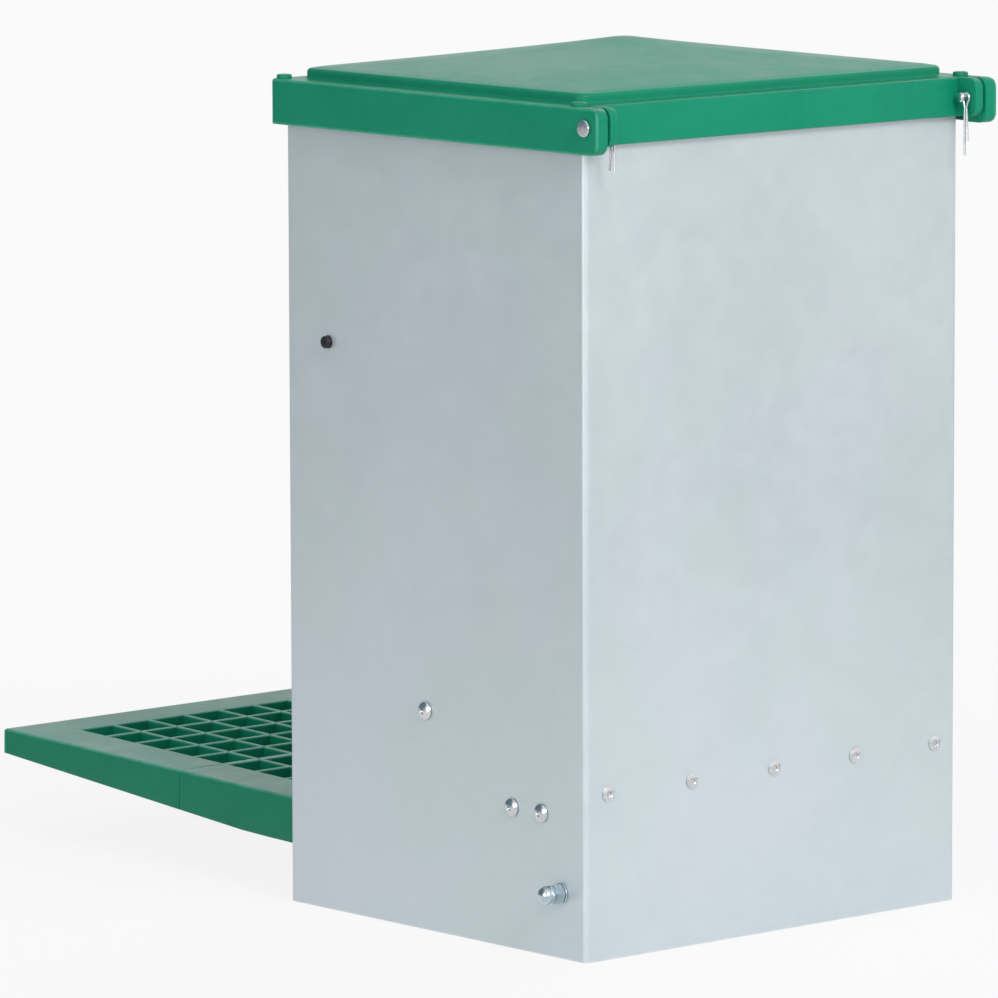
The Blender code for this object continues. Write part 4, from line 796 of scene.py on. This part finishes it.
def linkage():
    dressed(bar_piece("flap_shaft", ROD_R, IN_X - GAP, ROD), "flap", "bright_zinc", "flap_rod")
    x = FLAP_X + GAP
    outline = taper_outline(ROD, 0.0075, CRANK_PIN, 0.005)
    plate = eased(shown("crank", prism(outline, "YZ", x, x + 0.003), ZINC), 0.0003)
    join(plate, drill(CRANK_PIN, PIN_R, (x + 0.0015, PINS_END)))
    cut(plate, drill(ROD, ROD_R + GAP, (x - PAST, x + 0.008)))
    both_sides(plate, "crank_lever", "flap", "bright_zinc", "flap_crank")

    low, high = Vector(ARM_PIN), Vector(CRANK_PIN)
    run = high - low
    bar = turned([(0.0022, 0.0026), (0.0022, run.length - 0.0026)], 28)
    tilt = Matrix.Rotation(-math.atan2(run.x, run.y), 4, "X")
    bar.transform(Matrix.Translation((LINK_X + LINK_WIDTH / 2, low.x, low.y)) @ tilt)
    obj = shown("link", bar, ZINC)
    for spot in (low, high):
        eye = shown("eye", prism(circle(spot, 0.0052, 36), "YZ", LINK_X, LINK_X + LINK_WIDTH), ZINC)
        welded(obj, eased(eye, 0.0004))
    reach = (LINK_X - PAST, LINK_X + LINK_WIDTH + PAST)
    cut(obj, *[drill(spot, 0.0028, reach) for spot in (low, high)])
    both_sides(obj, "link_bar", "link_{}", "bright_zinc", "link_rod")


def bushes():
    """Flanged plastic bushes that carry the shaft, closed outside by a plug with a small round recess in its
    end.
    """
    bore, end, ease = ROD_R + GAP, HALF_X - IN_X + 0.0033, 0.0008
    profile = [(PLUG_R - ease * (1 - math.cos(a)), end - ease * (1 - math.sin(a)))
               for a in (0, 0.4, 0.8, 1.2, math.pi / 2)]
    profile += [(0.0012, end), (0.0010, end - 0.0006), (0.0001, end - 0.0007), (0.0001, 0), (bore, 0)]
    profile += [(bore, -0.0045), (0.0072, -0.0045), (0.0075, -0.0042), (0.0075, -GAP), (PLUG_R, -GAP)]
    obj = shown("bush", along_x(turned(profile, hollow=True), IN_X, *ROD), BLACK)
    both_sides(obj, "bush_plug", "body", "black_plastic", "flap_bush")


def springs():
    """Return springs: hook, coils and hook, from the tray's screw to the arm's pin."""
    high, low = Vector(TRAY_SCREWS[0]), Vector(SPRING_PIN)
    run = low - high
    along = run.normalized()
    across = Vector((-along.y, along.x))
    body, x, hook_r, coil_r = run.length * 0.56, LINK_X + LINK_WIDTH / 2, 0.0033, 0.0042
    lead = (run.length - body) / 2
    path = []
    for k in range(16):
        swing = math.pi * 1.3 * (1 - k / 16)
        path.append((x, high + along * (hook_r * math.cos(swing)) + across * (hook_r * math.sin(swing))))
    steps = 12 * 24
    for k in range(steps + 1):
        swing = 2 * math.pi * k / 24
        radius = hook_r + (coil_r - hook_r) * min(1, k / 12, (steps - k) / 12)
        centre = high + along * (lead + body * k / steps)
        path.append((x + radius * math.sin(swing), centre + across * (radius * math.cos(swing))))
    for k in range(16):
        swing = math.pi * 1.3 * (k + 1) / 16
        path.append((x, low - along * (0.0029 * math.cos(swing)) + across * (0.0029 * math.sin(swing))))
    for side, label in ((1, "right"), (-1, "left")):
        obj = wire("coil_spring_" + label, [(side * x, p.x, p.y) for x, p in path], 0.0006, 10)
        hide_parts("return_spring_" + label)
        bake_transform(obj)


# ---- treadle --------------------------------------------------------------

def deck_z(y):
    return TREADLE_FRONT_Z + (y - TREADLE_FRONT) * SLOPE


def skirt_depth(y):
    share = min(1, (y - TREADLE_FRONT) / (-0.190 - TREADLE_FRONT))
    return 0.0157 + (0.0283 - 0.0157) * share


def stepped_cells(xs, ys, layers, solid, height):
    """Closed mesh of the filled cells of a grid of columns, rows and layers."""
    columns, rows = len(xs) - 1, len(ys) - 1
    index, points, faces = {}, [], []

    def filled_at(i, j, k):
        return 0 <= i < columns and 0 <= j < rows and 0 <= k < layers and solid(i, j, k)

    def corner(i, j, k):
        if (i, j, k) not in index:
            index[i, j, k] = len(points)
            points.append((xs[i], ys[j], height(i, j, k)))
        return index[i, j, k]

    sides = {(-1, 0, 0): ((0, 0, 0), (0, 1, 0), (0, 1, 1), (0, 0, 1)),
             (1, 0, 0): ((1, 0, 0), (1, 0, 1), (1, 1, 1), (1, 1, 0)),
             (0, -1, 0): ((0, 0, 0), (0, 0, 1), (1, 0, 1), (1, 0, 0)),
             (0, 1, 0): ((0, 1, 0), (1, 1, 0), (1, 1, 1), (0, 1, 1)),
             (0, 0, -1): ((0, 0, 0), (1, 0, 0), (1, 1, 0), (0, 1, 0)),
             (0, 0, 1): ((0, 0, 1), (0, 1, 1), (1, 1, 1), (1, 0, 1))}
    for i in range(columns):
        for j in range(rows):
            for k in range(layers):
                for (di, dj, dk), quad in sides.items():
                    if filled_at(i, j, k) and not filled_at(i + di, j + dj, k + dk):
                        faces.append(tuple(corner(i + a, j + b, k + c) for a, b, c in quad))
    return mesh_from(points, faces)


def grille(end, start, front_end):
    """One moulded grille: bordered frame with skirts, and a field of ribs grown across it."""
    wall, edge, width, pitch_x = 0.0025, 0.0010, 2 * PAD_X, (2 * PAD_X - 2 * SIDE_BORDER + RIB) / 7
    xs = [0, edge, wall, SIDE_BORDER - RIB]
    for cell in range(7):
        xs += [SIDE_BORDER + cell * pitch_x, SIDE_BORDER + (cell + 1) * pitch_x - RIB]
    xs = [x - PAD_X for x in xs + [width - SIDE_BORDER + RIB, width - wall, width - edge, width]]
    ys = [0, edge, wall, END_BORDER - RIB]
    for cell in range(5):
        ys += [END_BORDER + cell * PITCH, END_BORDER + (cell + 1) * PITCH - RIB]
    ys += [MODULE]
    if not front_end:
        ys = [MODULE - y for y in reversed(ys)]
    last, rows = len(xs) - 2, len(ys) - 1
    end_rows = (0, 1) if front_end else (rows - 2, rows - 1)
    rib_rows = range(3, rows, 2) if front_end else range(0, rows - 3, 2)
    field_rows = range(4, rows) if front_end else range(0, rows - 4)
    side_rows = (*field_rows, min(rib_rows, key=lambda r: abs(r - end_rows[0])))
    end_beam = 3 if front_end else rows - 4

    def solid(i, j, k):
        if 4 <= i <= last - 4 and j in field_rows:
            return False
        inside = 3 <= i <= last - 3
        rim = i in (0, 1, last - 1, last) or (j in end_rows and (front_end or inside))
        beam = (i in (3, last - 3) and j in side_rows) or (j == end_beam and inside)
        gusset = j in rib_rows or j in end_rows or i in range(3, last - 2, 2)
        return (True, rim or beam or gusset, rim or beam, rim)[k]

    def height(i, j, k):
        outer = i in (0, len(xs) - 1) or (j == 0 and front_end)
        if k == 0:
            return -edge if outer else 0
        return -(0.003, 0.0065, 0.013)[k - 1] if k < 4 else -skirt_depth(start + ys[j])

    border = eased(shown("border", stepped_cells(xs, ys, 4, solid, height), GREEN_GRILLE), 0.0004, 2, 40)
    long = 5 * PITCH + RIB
    field = grown("field", bpy.data.meshes.new("none"), RIB_TREE, {
        "Bars Along": 8, "Bars Across": 6, "Pitch X": pitch_x, "Pitch Y": PITCH,
        "Length X": width - 2 * SIDE_BORDER + 2 * RIB - 0.0004, "Length Y": long - 0.0002,
        "Rib Top": 0.0036, "Rib Foot": 0.0024, "Depth": 0.013, "Edge Radius": 0.0008}, GREEN_GRILLE)
    field.data.transform(Matrix.Translation((0, long / 2 + (END_BORDER - RIB if front_end else 0), -0.00002)))
    whole = merged("grille_" + end, GREEN_GRILLE, border, field)
    tilt = Matrix.Translation((0, start, deck_z(start))) @ Matrix.Rotation(math.atan(SLOPE), 4, "X")
    whole.data.transform(tilt)
    dressed(whole, "treadle", "green_plastic", "treadle_" + end)


TREADLE_REAR = TREADLE_FRONT + 2 * MODULE
SCREW_X, SCREW_PAST = ARM_OUT - 0.0115, 0.0135
SCREW_YS = (TREADLE_FRONT + END_BORDER + 2 * PITCH + SCREW_PAST,
            TREADLE_REAR + GAP - END_BORDER - 2 * PITCH - SCREW_PAST)


def arm_top(y):
    return deck_z(y) - 0.0065 - GAP


def arms():
    """Angle-section arms under the grille, running back to the pivots, and the bar between them."""
    inner, wide = ARM_OUT - ARM_THICK, ARM_OUT - 0.020
    narrow = inner - GAP
    stations = ((TREADLE_FRONT + 0.0085, 0.0065, wide), (-0.190, ARM_LEG, wide),
                (TREADLE_REAR, ARM_LEG, wide), (TREADLE_REAR + 0.020, ARM_LEG, narrow),
                (PIVOT[0], ARM_LEG, narrow), (PIVOT[0] + 0.013, ARM_LEG / 2, narrow))
    rings = []
    for y, depth, edge in stations:
        top = arm_top(y)
        web = top - ARM_THICK
        rings.append([(ARM_OUT, y, top), (ARM_OUT, y, top - depth), (inner, y, top - depth), (inner, y, web),
                      (edge, y, web), (edge, y, top)])
    obj = eased(shown("arm", lofted(rings), SHEET_PARTS), 0.0004)
    shoulder, root = LINK_X - GAP, ARM_OUT - 0.0015
    join(obj, drill(ARM_PIN, 0.004, (root, shoulder)), drill(ARM_PIN, PIN_R, (shoulder - GAP, PINS_END)),
         drill(SPRING_PIN, PIN_R, (root, PINS_END)))
    bar_y = TREADLE_REAR + 0.0206
    bar_spot, reach = (bar_y, arm_top(bar_y) - ARM_LEG / 2), (inner - PAST, ARM_OUT + PAST)
    cut(obj, drill(PIVOT, PIVOT_R + GAP, reach), drill(bar_spot, 0.005 + GAP, reach))
    for y in SCREW_YS:
        cut(obj, prism(circle((SCREW_X, y), PIN_R + GAP, 24), "XY", arm_top(y) - 0.006, arm_top(y) + 0.003))
    both_sides(obj, "treadle_bar", "treadle", "galvanised_sheet", "treadle_arm")
    dressed(bar_piece("tie_bar", 0.005, ARM_OUT + GAP, bar_spot), "treadle", "bright_zinc", "cross_bar")


# ---- fasteners ------------------------------------------------------------

def dome_profile(radius, rise, foot, steps=9):
    swings = [math.pi / 2 * k / steps for k in range(steps)]
    side = [(radius * math.cos(a), foot + (rise - foot) * math.sin(a)) for a in swings]
    return side + [(radius * 0.02, rise)]


def cross_recess(top, reach, depth):
    """Four-lobed driver recess, tapering inwards."""
    tools = []
    for turn in (0, math.pi / 2):
        rings = [[(a, b, z), (-a, b, z), (-a, -b, z), (a, -b, z)]
                 for a, b, z in ((reach, 0.00042, top + 0.0005), (reach * 0.35, 0.0003, top - depth))]
        mesh = lofted(rings)
        mesh.transform(Matrix.Rotation(turn + 0.5, 4, "Z"))
        tools.append(mesh)
    return tools


def laid(axis, spin):
    """Turn that lays a template's +Z on an axis, after spinning it about itself."""
    return (Vector(axis).to_track_quat("Z", "Y").to_matrix() @ Matrix.Rotation(spin, 3, "Z")).to_euler()


def side_screws():
    """Domed screws, each template along +Z with its seat at zero height."""
    for name, spot, length in (("baffle", BAFFLE_SCREW, 0.0075), ("spring", TRAY_SCREWS[0], 0.0135),
                               ("tray", TRAY_SCREWS[1], 0.0075)):
        profile = ([(0.0052, GAP), (0.0056, GAP + 0.0002)] + dome_profile(0.0056, 0.0030, 0.0007))[::-1]
        profile += [(SCREW_R, GAP), (SCREW_R, 0.0006 - length), (0.0018, -length)]
        template = cut(shown("screw", turned(profile, 36), ZINC), *cross_recess(0.0030, 0.0026, 0.0014))
        obj = set_of(name + "_fixing", template, [(side * HALF_X, *spot) for side in (-1, 1)],
                     [laid((side, 0, 0), 0.6 + length * 90 * side) for side in (-1, 1)])
        dressed(obj, "body", "bright_zinc", name + "_screw_left", name + "_screw_right")


def rivets():
    """Blind rivets with the broken mandrel sunk in their heads."""
    profile = [(0.0003, 0.00035), (0.0010, 0.00040), (0.0011, 0.00015), (0.0015, 0.00015), (0.0017, 0.00105),
               (0.0021, 0.0013), (0.0027, 0.00125), (0.0038, 0.00085), (0.0046, 0.00055), (0.0048, 0.00045),
               (0.0048, GAP), (SCREW_R, GAP), (SCREW_R, -0.0036), (0.0020, -0.004)]
    obj = set_of("rivet_row", shown("rivet", turned(profile, 32), ZINC), [(x, HALF_Y, z) for x, z in RIVETS],
                 [laid((0, 1, 0), 0.7 * k) for k in range(5)])
    dressed(obj, "body", "bright_zinc", *[f"back_rivet_{k}" for k in range(1, 6)])


def treadle_screws():
    """Screws up through the arms into the grilles, heads down."""
    for label, y in zip(("front", "rear"), SCREW_YS):
        top = deck_z(y) - (0.003 + GAP)
        under = arm_top(y) - ARM_THICK - GAP - top
        profile = [(0.0001, under - 0.0022), (0.0021, under - 0.0022), (0.0034, under - 0.0019),
                   (0.0042, under - 0.0010), (0.0042, under), (PIN_R, under), (PIN_R, -0.0002), (0.0018, 0)]
        recess = cross_recess(0.0022 - under, 0.0021, 0.0011)
        for mesh in recess:
            mesh.transform(Matrix.Rotation(math.pi, 4, "X"))
        template = cut(shown("screw", turned(profile, 28), ZINC), *recess)
        obj = set_of("grille_screws_" + label, template, [(side * SCREW_X, y, top) for side in (-1, 1)],
                     [(0, 0, 0.3), (0, 0, 1.1)])
        dressed(obj, "treadle", "bright_zinc", f"treadle_screw_{label}_left", f"treadle_screw_{label}_right")


def hex_nut(name, low, high, look, bore=None):
    """Hexagon with its corners turned down at both ends, along X on the pivot's axis."""
    flat = 0.0055
    corner = flat / math.cos(math.pi / 6)
    ease = (corner - flat) * 0.6
    obj = shown(name, prism(arc(PIVOT, corner, 0.2, 0.2 + 2 * math.pi, 6)[:-1], "YZ", low, high), look)
    ends, rim = flat * 0.97, corner + 0.0001
    lathe = turned([(ends, low), (rim, low + ease), (rim, high - ease), (ends, high)], 48)
    applied(obj, along_x(lathe, 0, *PIVOT), "INTERSECT")
    if bore:
        cut(obj, drill(PIVOT, bore, (low - PAST, high + PAST)))
    return obj


def pivot_hardware():
    """On each pivot, from the inside: bolt, spacer, washer, lock nut and domed nut."""
    bore, seat = PIVOT_R + GAP, ARM_OUT - ARM_THICK - 2 * GAP
    washer_end = HALF_X + GAP + 0.0012
    nut_end = washer_end + GAP + 0.0065
    cap_start, cap_end = nut_end + GAP, nut_end + GAP + 0.0025

    def ring(radius, low, high, sides, look):
        ends = radius - 0.0003
        profile = [(radius, high - 0.0003), (ends, high), (bore, high), (bore, low), (ends, low),
                   (radius, low + 0.0003)]
        return shown("ring", along_x(turned(profile, sides, True), 0, *PIVOT), look)

    bolt = hex_nut("bolt", seat - 0.005, seat, ZINC)
    join(bolt, drill(PIVOT, PIVOT_R, (seat - 0.0025, cap_end - 0.0004)))
    spacer = ring(0.0068, ARM_OUT + GAP, IN_X - GAP, 40, BLACK)
    washer = ring(0.0062, HALF_X + GAP, washer_end, 48, BLUE_ZINC)
    nut = hex_nut("nut", washer_end + GAP, nut_end, BLUE_ZINC, bore)
    cap = hex_nut("cap", cap_start, cap_end, BLUE_ZINC)
    dome = ([(0.00535, -0.00125)] + dome_profile(0.00535, 0.00535, 0.0016, 10))[::-1]
    join(cap, along_x(turned(dome), cap_end, *PIVOT))
    cut(cap, drill(PIVOT, bore, (cap_start - PAST, cap_end + GAP)))
    for obj, piece, slot, stem in ((bolt, "pivot_pin", "bright_zinc", "pivot_bolt"),
                                   (spacer, "pivot_sleeve", "black_plastic", "pivot_spacer"),
                                   (washer, "pivot_ring", "bright_zinc", "pivot_washer"),
                                   (nut, "lock_nut", "bright_zinc", "pivot_nut"),
                                   (cap, "dome_nut", "bright_zinc", "cap_nut")):
        both_sides(obj, piece, "body", slot, stem)


# ---- collar and lid -------------------------------------------------------

BACK_Y, LUG_X, LUG_R = 0.1396, 0.1436, 0.0065
LID_X, LID_FRONT, LID_REAR, EDGE_R = 0.1604, -0.1362, 0.136, 0.0018
LUG_FRONT, LUG_REAR, SKIRT_LOW = 0.1403, 0.1557, 0.4728
CROWN_X, CROWN_REAR, CROWN_FRONT, FOOT_R = 0.1455, 0.1267, -0.1235, 0.0014
CROWN_SHARES = (0.965, 0.94, 0.90, 0.85, 0.79, 0.72, 0.65, 0.58, 0.51, 0.44, 0.37, 0.30, 0.23, 0.17, 0.12,
                0.08, 0.05)
EYE_R = 0.0029


def lug_outline(front, bottom):
    outline = [(front, BORDER_Z), (front, bottom)]
    outline += arc((LUG_REAR - LUG_R, bottom + LUG_R), LUG_R, -math.pi / 2, 0, 14)
    return outline + arc((LUG_REAR - LUG_R, BORDER_Z - LUG_R), LUG_R, 0, math.pi / 2, 14)


def collar_rim():
    """Moulded rim that caps the body and carries the inner hinge lugs."""
    low, foot, rear, leg_y = COLLAR_TOP - 0.003, 0.478, IN_Y - GAP, IN_Y - GAP - 2 * SHEET
    outer, middle = (HALF_X, -HALF_Y, HALF_Y, BEND), (FIT_X, -leg_y, rear, BEND)
    inner = (FIT_X - 0.003, 0.003 - leg_y, rear - 0.003, BEND)
    section = ((outer, low), (outer, COLLAR_TOP), (inner, COLLAR_TOP), (inner, foot), (middle, foot),
               (middle, low))
    rings = [[(*p, z) for p in rounded_box(*shape)] for shape, z in section]
    obj = shown("collar_rim", lofted(rings, True), GREEN_LID)
    wall, edge, lip, reach = BACK_Y - 0.003, EDGE_R, 0.0006, LUG_X + 0.006
    skirt = [(wall, 0.4767)] + arc((BACK_Y - lip, 0.4767 + lip), lip, -math.pi / 2, 0, 3)
    skirt += arc((BACK_Y - edge, BORDER_Z - edge), edge, 0, math.pi / 2, 7)
    skirt += [(wall, BORDER_Z), (wall, COLLAR_TOP), (IN_Y, COLLAR_TOP), (IN_Y, low), (wall, low)]
    join(obj, prism(skirt, "YZ", -reach, reach))
    for side in (-1, 1):
        outline = lug_outline(BACK_Y - edge * 1.5, 0.477)
        lug = shown("lug", prism(outline, "YZ", *span(side, LUG_X, reach)), GREEN_LID)
        welded(obj, eased(lug, 0.0008, 3, 50, lambda m: m.y > BACK_Y + 0.001))
        cut(obj, drill(HINGE, HINGE_R + GAP, span(side, LUG_X - PAST, reach + PAST), 40))
    dressed(obj, "body", "green_plastic", "collar")


def rounding(radius, steps):
    """How far a quarter round has drawn in, and how far below its top it still is, step by step."""
    swings = [math.pi / 2 * k / steps for k in range(steps + 1)]
    return [(radius * (1 - math.cos(a)), radius * (1 - math.sin(a))) for a in swings]


def crown_rings(inset, eave_r, steps):
    """Rings of the raised crown from its foot to near its peak."""
    foot_r, half = 0.007 - inset, CROWN_X - inset
    low, high = CROWN_FRONT + inset, CROWN_REAR - inset
    centre, depth = (low + high) / 2, (high - low) / 2
    eave = BORDER_Z + 0.0063 - inset
    rings = [(half - draw, low + draw, high - draw, foot_r - draw, eave - fall)
             for draw, fall in rounding(eave_r, steps)]
    for share in CROWN_SHARES:
        reach = half * share
        full = min(reach, depth * share)
        radius = foot_r * share + (full - foot_r * share) * (1 - share) ** 1.15
        rise = 0.0189 * (1 - share ** 0.95)
        rings.append((reach, centre - depth * share, centre + depth * share, radius, eave + rise))
    return rings


def ring_points(shape, rear_radius=None):
    half, low, high, radius, z = shape
    return [(*p, z) for p in rounded_box(half, low, high, radius, 9, rear_radius)]


def closed_up(mesh):
    """Merge the points that fall together where a loft has square corners."""
    with edited(mesh) as build:
        bmesh.ops.remove_doubles(build, verts=build.verts, dist=1e-7)
        bmesh.ops.dissolve_degenerate(build, edges=build.edges, dist=1e-7)
        bmesh.ops.recalc_face_normals(build, faces=build.faces)
    return mesh


def lid_cover():
    """Hinged moulded lid: skirt, rounded edge, flat border and softly hipped crown."""
    skirt = [(LID_X - 0.0004, LID_FRONT + 0.0004, LUG_REAR, 0.0036, SKIRT_LOW),
             (LID_X, LID_FRONT, LUG_REAR, 0.004, SKIRT_LOW + 0.0004)]
    skirt += [(LID_X - draw, LID_FRONT + draw, LUG_REAR, 0.004 - draw, BORDER_Z - fall)
              for draw, fall in rounding(EDGE_R, 6)]
    foot = [(CROWN_X + out, CROWN_FRONT - out, CROWN_REAR + out, 0.007 + out, BORDER_Z + rise)
            for rise, out in rounding(FOOT_R, 4)]
    skin = [ring_points(shape, 0) for shape in skirt]
    skin += [ring_points(shape) for shape in foot + crown_rings(0, 0.0027, 6)]
    obj = shown("lid_cover", closed_up(lofted(skin)), GREEN_LID)
    inner, front, under, over = LID_X - 0.003, LID_FRONT + 0.0014, SKIRT_LOW - PAST, BORDER_Z + PAST
    hollow = [(inner, front, LUG_FRONT, 0.0026, under), (inner, front, LUG_FRONT, 0.0026, LID_UNDER),
              (CROWN_X - 0.003, CROWN_FRONT + 0.003, CROWN_REAR - 0.003, 0.004, LID_UNDER)]
    cut(obj, lofted([ring_points(shape) for shape in hollow + crown_rings(0.003, 0.001, 3)]))
    lug_inner, round_y = LID_X - 0.0086, LUG_REAR - LUG_R
    behind, undercut = LUG_REAR + PAST, LID_REAR - 0.0026
    gap = [(LID_REAR, over), (LID_REAR, BORDER_Z), (undercut, LID_UNDER), (undercut, under),
           (behind, under), (behind, over)]
    cut(obj, prism(gap, "YZ", -lug_inner, lug_inner))
    waste = [(round_y, under), (behind, under), (behind, over), (round_y, over)]
    cut(obj, prism(waste + lug_outline(LUG_FRONT, SKIRT_LOW)[2:][::-1], "YZ", -LID_X - PAST, LID_X + PAST))
    eased(obj, 0.0014, 5, 50, lambda m: m.y > round_y + 0.0004 and abs(m.x) > LID_X - 0.0004)
    eased(obj, 0.0004, 2, 50, lambda m: m.y > LUG_FRONT + 0.001 and abs(m.x) < lug_inner + 0.0003)
    for side in (-1, 1):
        cut(obj, drill(HINGE, HINGE_R + GAP, span(side, lug_inner - PAST, LID_X + PAST), 40))
        for y in (-0.1310, 0.1325):
            stud = turned([(0.0046, -0.0015), (0.0046, 0.0016), (0.0044, 0.0020), (0.0040, 0.0023),
                           (0.0034, 0.0024)])
            stud.transform(Matrix.Translation((side * 0.1532, y, BORDER_Z)))
            join(obj, stud)
    dressed(obj, "lid", "green_plastic", "lid")


def hinge_hardware():
    """Clevis pins and the split pins through their tails."""
    face, tail, (y, z) = LID_X + GAP, LUG_X - 0.005, HINGE
    profile = [(0.0001, 0.0022), (0.0040, 0.0022), (0.0047, 0.0020), (0.0050, 0.0016), (0.0050, 0.0002),
               (0.0048, 0), (HINGE_R, 0)]
    profile += [(HINGE_R * math.cos(a), tail - face + 0.0014 * (1 - math.sin(a)))
                for a in (0, 0.3, 0.6, 0.9, 1.2, 1.5)]
    pin = shown("pin", along_x(turned(profile, 44), face, *HINGE), ZINC)
    x = tail + 0.0024
    cut(pin, prism(circle((x, y), 0.0009, 24), "XY", z - 0.006, z + 0.006))
    both_sides(pin, "clevis_pin", "body", "bright_zinc", "hinge_pin")
    wires = (("right", 1, 0.1480, (0.1452, 0.463), (0.1497, 0.463)),
             ("left", -1, 0.1494, (0.1487, 0.454), (0.1513, 0.463)))
    for label, side, eye_y, front_end, rear_end in wires:
        front, rear = eye_y - 0.0008, eye_y + 0.0008
        eye = arc((eye_y, z), EYE_R, math.radians(228), math.radians(-48), 26)
        path = [front_end, (front, z - 0.0067), (front, z - 0.0052), *eye,
                (rear, z - 0.0052), (rear, z - 0.0067), rear_end]
        obj = wire("split_wire_" + label, [(side * x, *spot) for spot in path], 0.00072, 14)
        dressed(obj, "body", "bright_zinc", "split_pin_" + label)


# ---- build the object -----------------------------------------------------

for make in (body_shell, floor_and_front, tray_sheet, cheek_plates, baffle_sheet, flap_sheet, linkage,
             bushes, springs):
    make()
grille("front", TREADLE_FRONT, True)
grille("rear", TREADLE_FRONT + MODULE + GAP, False)
for make in (arms, side_screws, rivets, treadle_screws, pivot_hardware, collar_rim, lid_cover,
             hinge_hardware):
    make()


# ---- floor, light and camera ----------------------------------------------

PAPER = (0.956, 0.956, 0.956, 1)


def rays(tree):
    """1 for rays from the camera, and 1 for rays that metal or glass sends on."""
    seen = [Value(socket) for socket in node(tree, "ShaderNodeLightPath").outputs]
    names = {value.socket.name: value for value in seen}
    return names["Is Camera Ray"], larger(names["Is Glossy Ray"], names["Is Transmission Ray"])


def backdrop():
    """Pale floor that keeps the object's shadow and fades into the white surround."""
    mesh = mesh_from([(-6, -6, 0), (6, -6, 0), (6, 6, 0), (-6, 6, 0)], [(0, 1, 2, 3)])
    obj = placed("studio_floor", mesh)
    obj.location.z = -0.0005
    made, shader, spot = finish_start("studio_floor", 0.9, 0.0)
    shader.inputs["Base Color"].default_value = (0.90, 0.90, 0.90, 1)
    shader.inputs["Specular IOR Level"].default_value = 0.0
    tree = made.node_tree
    far = put("ShaderNodeVectorMath", {0: spot}, "Value", operation="LENGTH")
    camera, shiny = rays(tree)
    # in reflections the floor glows brighter near the object than far off: a painted pool of light
    dimmer = larger(ranged(far, 0.4, 2.4, 0.88, 0.52), camera)
    white = put("ShaderNodeEmission", {"Color": PAPER, "Strength": dimmer})
    share = ranged(far, 0.35, 1.3, 0.90, 1.0) * larger(camera, shiny)
    mix = put("ShaderNodeMixShader", {0: share, 1: Value(shader.outputs[0]), 2: white})
    tree.links.new(mix.socket, tree.nodes["Material Output"].inputs[0])
    mesh.materials.append(made)


def surround():
    """Even soft light, white to the eye, with one dimmer corner of the studio for metal to show."""
    world = bpy.data.worlds.new("studio")
    bpy.context.scene.world = world
    world.use_nodes = True
    tree = world.node_tree
    light = tree.nodes["Background"]
    light.inputs["Color"].default_value = (1, 1, 1, 1)
    light.inputs["Strength"].default_value = 0.55
    camera, shiny = rays(tree)
    way = Value(node(tree, "ShaderNodeTexCoord").outputs["Generated"])
    toward = put("ShaderNodeVectorMath", {0: way, 1: (0.45, -0.80, 0.39)}, "Value", operation="DOT_PRODUCT")
    corner = blended(ranged(toward, 0.52, 0.90, 0.0, 1.0), PAPER[:3], (0.13, 0.20, 0.24))
    room = put("ShaderNodeBackground", {"Color": corner, "Strength": 1.0})
    white = Value(node(tree, "ShaderNodeBackground", {"Color": PAPER, "Strength": 1.0}).outputs[0])
    mix = put("ShaderNodeMixShader", {0: shiny, 1: Value(light.outputs[0]), 2: room})
    mix = put("ShaderNodeMixShader", {0: camera, 1: mix, 2: white})
    tree.links.new(mix.socket, tree.nodes["World Output"].inputs[0])


def lamp(name, spot, size, power):
    light = bpy.data.lights.new(name, "AREA")
    light.shape, light.size, light.energy = "DISK", size, power
    obj = placed(name, light)
    obj.location = spot
    obj.rotation_euler = (Vector(spot) - Vector((0, 0, 0.28))).to_track_quat("Z", "Y").to_euler()


def photo_camera():
    azimuth, elevation, roll = (math.radians(v) for v in (138.69, 7.83, -0.168))
    level = math.cos(elevation)
    back = Vector((math.sin(azimuth) * level, -math.cos(azimuth) * level, math.sin(elevation)))
    side = Vector((0, 0, 1)).cross(back).normalized()
    top = back.cross(side)
    right = side * math.cos(roll) + top * math.sin(roll)
    up = top * math.cos(roll) - side * math.sin(roll)
    camera = bpy.data.cameras.new("photo_camera")
    camera.sensor_width = 36.0
    camera.lens = 7975.6 / 998 * camera.sensor_width
    camera.clip_start, camera.clip_end = 0.1, 100
    obj = placed("photo_camera", camera)
    turn = Matrix((right, up, back)).transposed()
    obj.matrix_world = Matrix.Translation((3.1956, 3.5240, 0.8995)) @ turn.to_4x4()
    bpy.context.scene.camera = obj


backdrop()
surround()
lamp("key_lamp", (0.6, 3.1, 2.4), 1.4, 78)
lamp("edge_lamp", (2.3, 2.6, 1.2), 1.0, 13)
lamp("side_lamp", (3.1, 0.3, 0.7), 1.6, 15)
lamp("front_lamp", (-2.9, -0.9, 2.2), 1.8, 16)
photo_camera()
bpy.context.scene.view_settings.view_transform = "Standard"
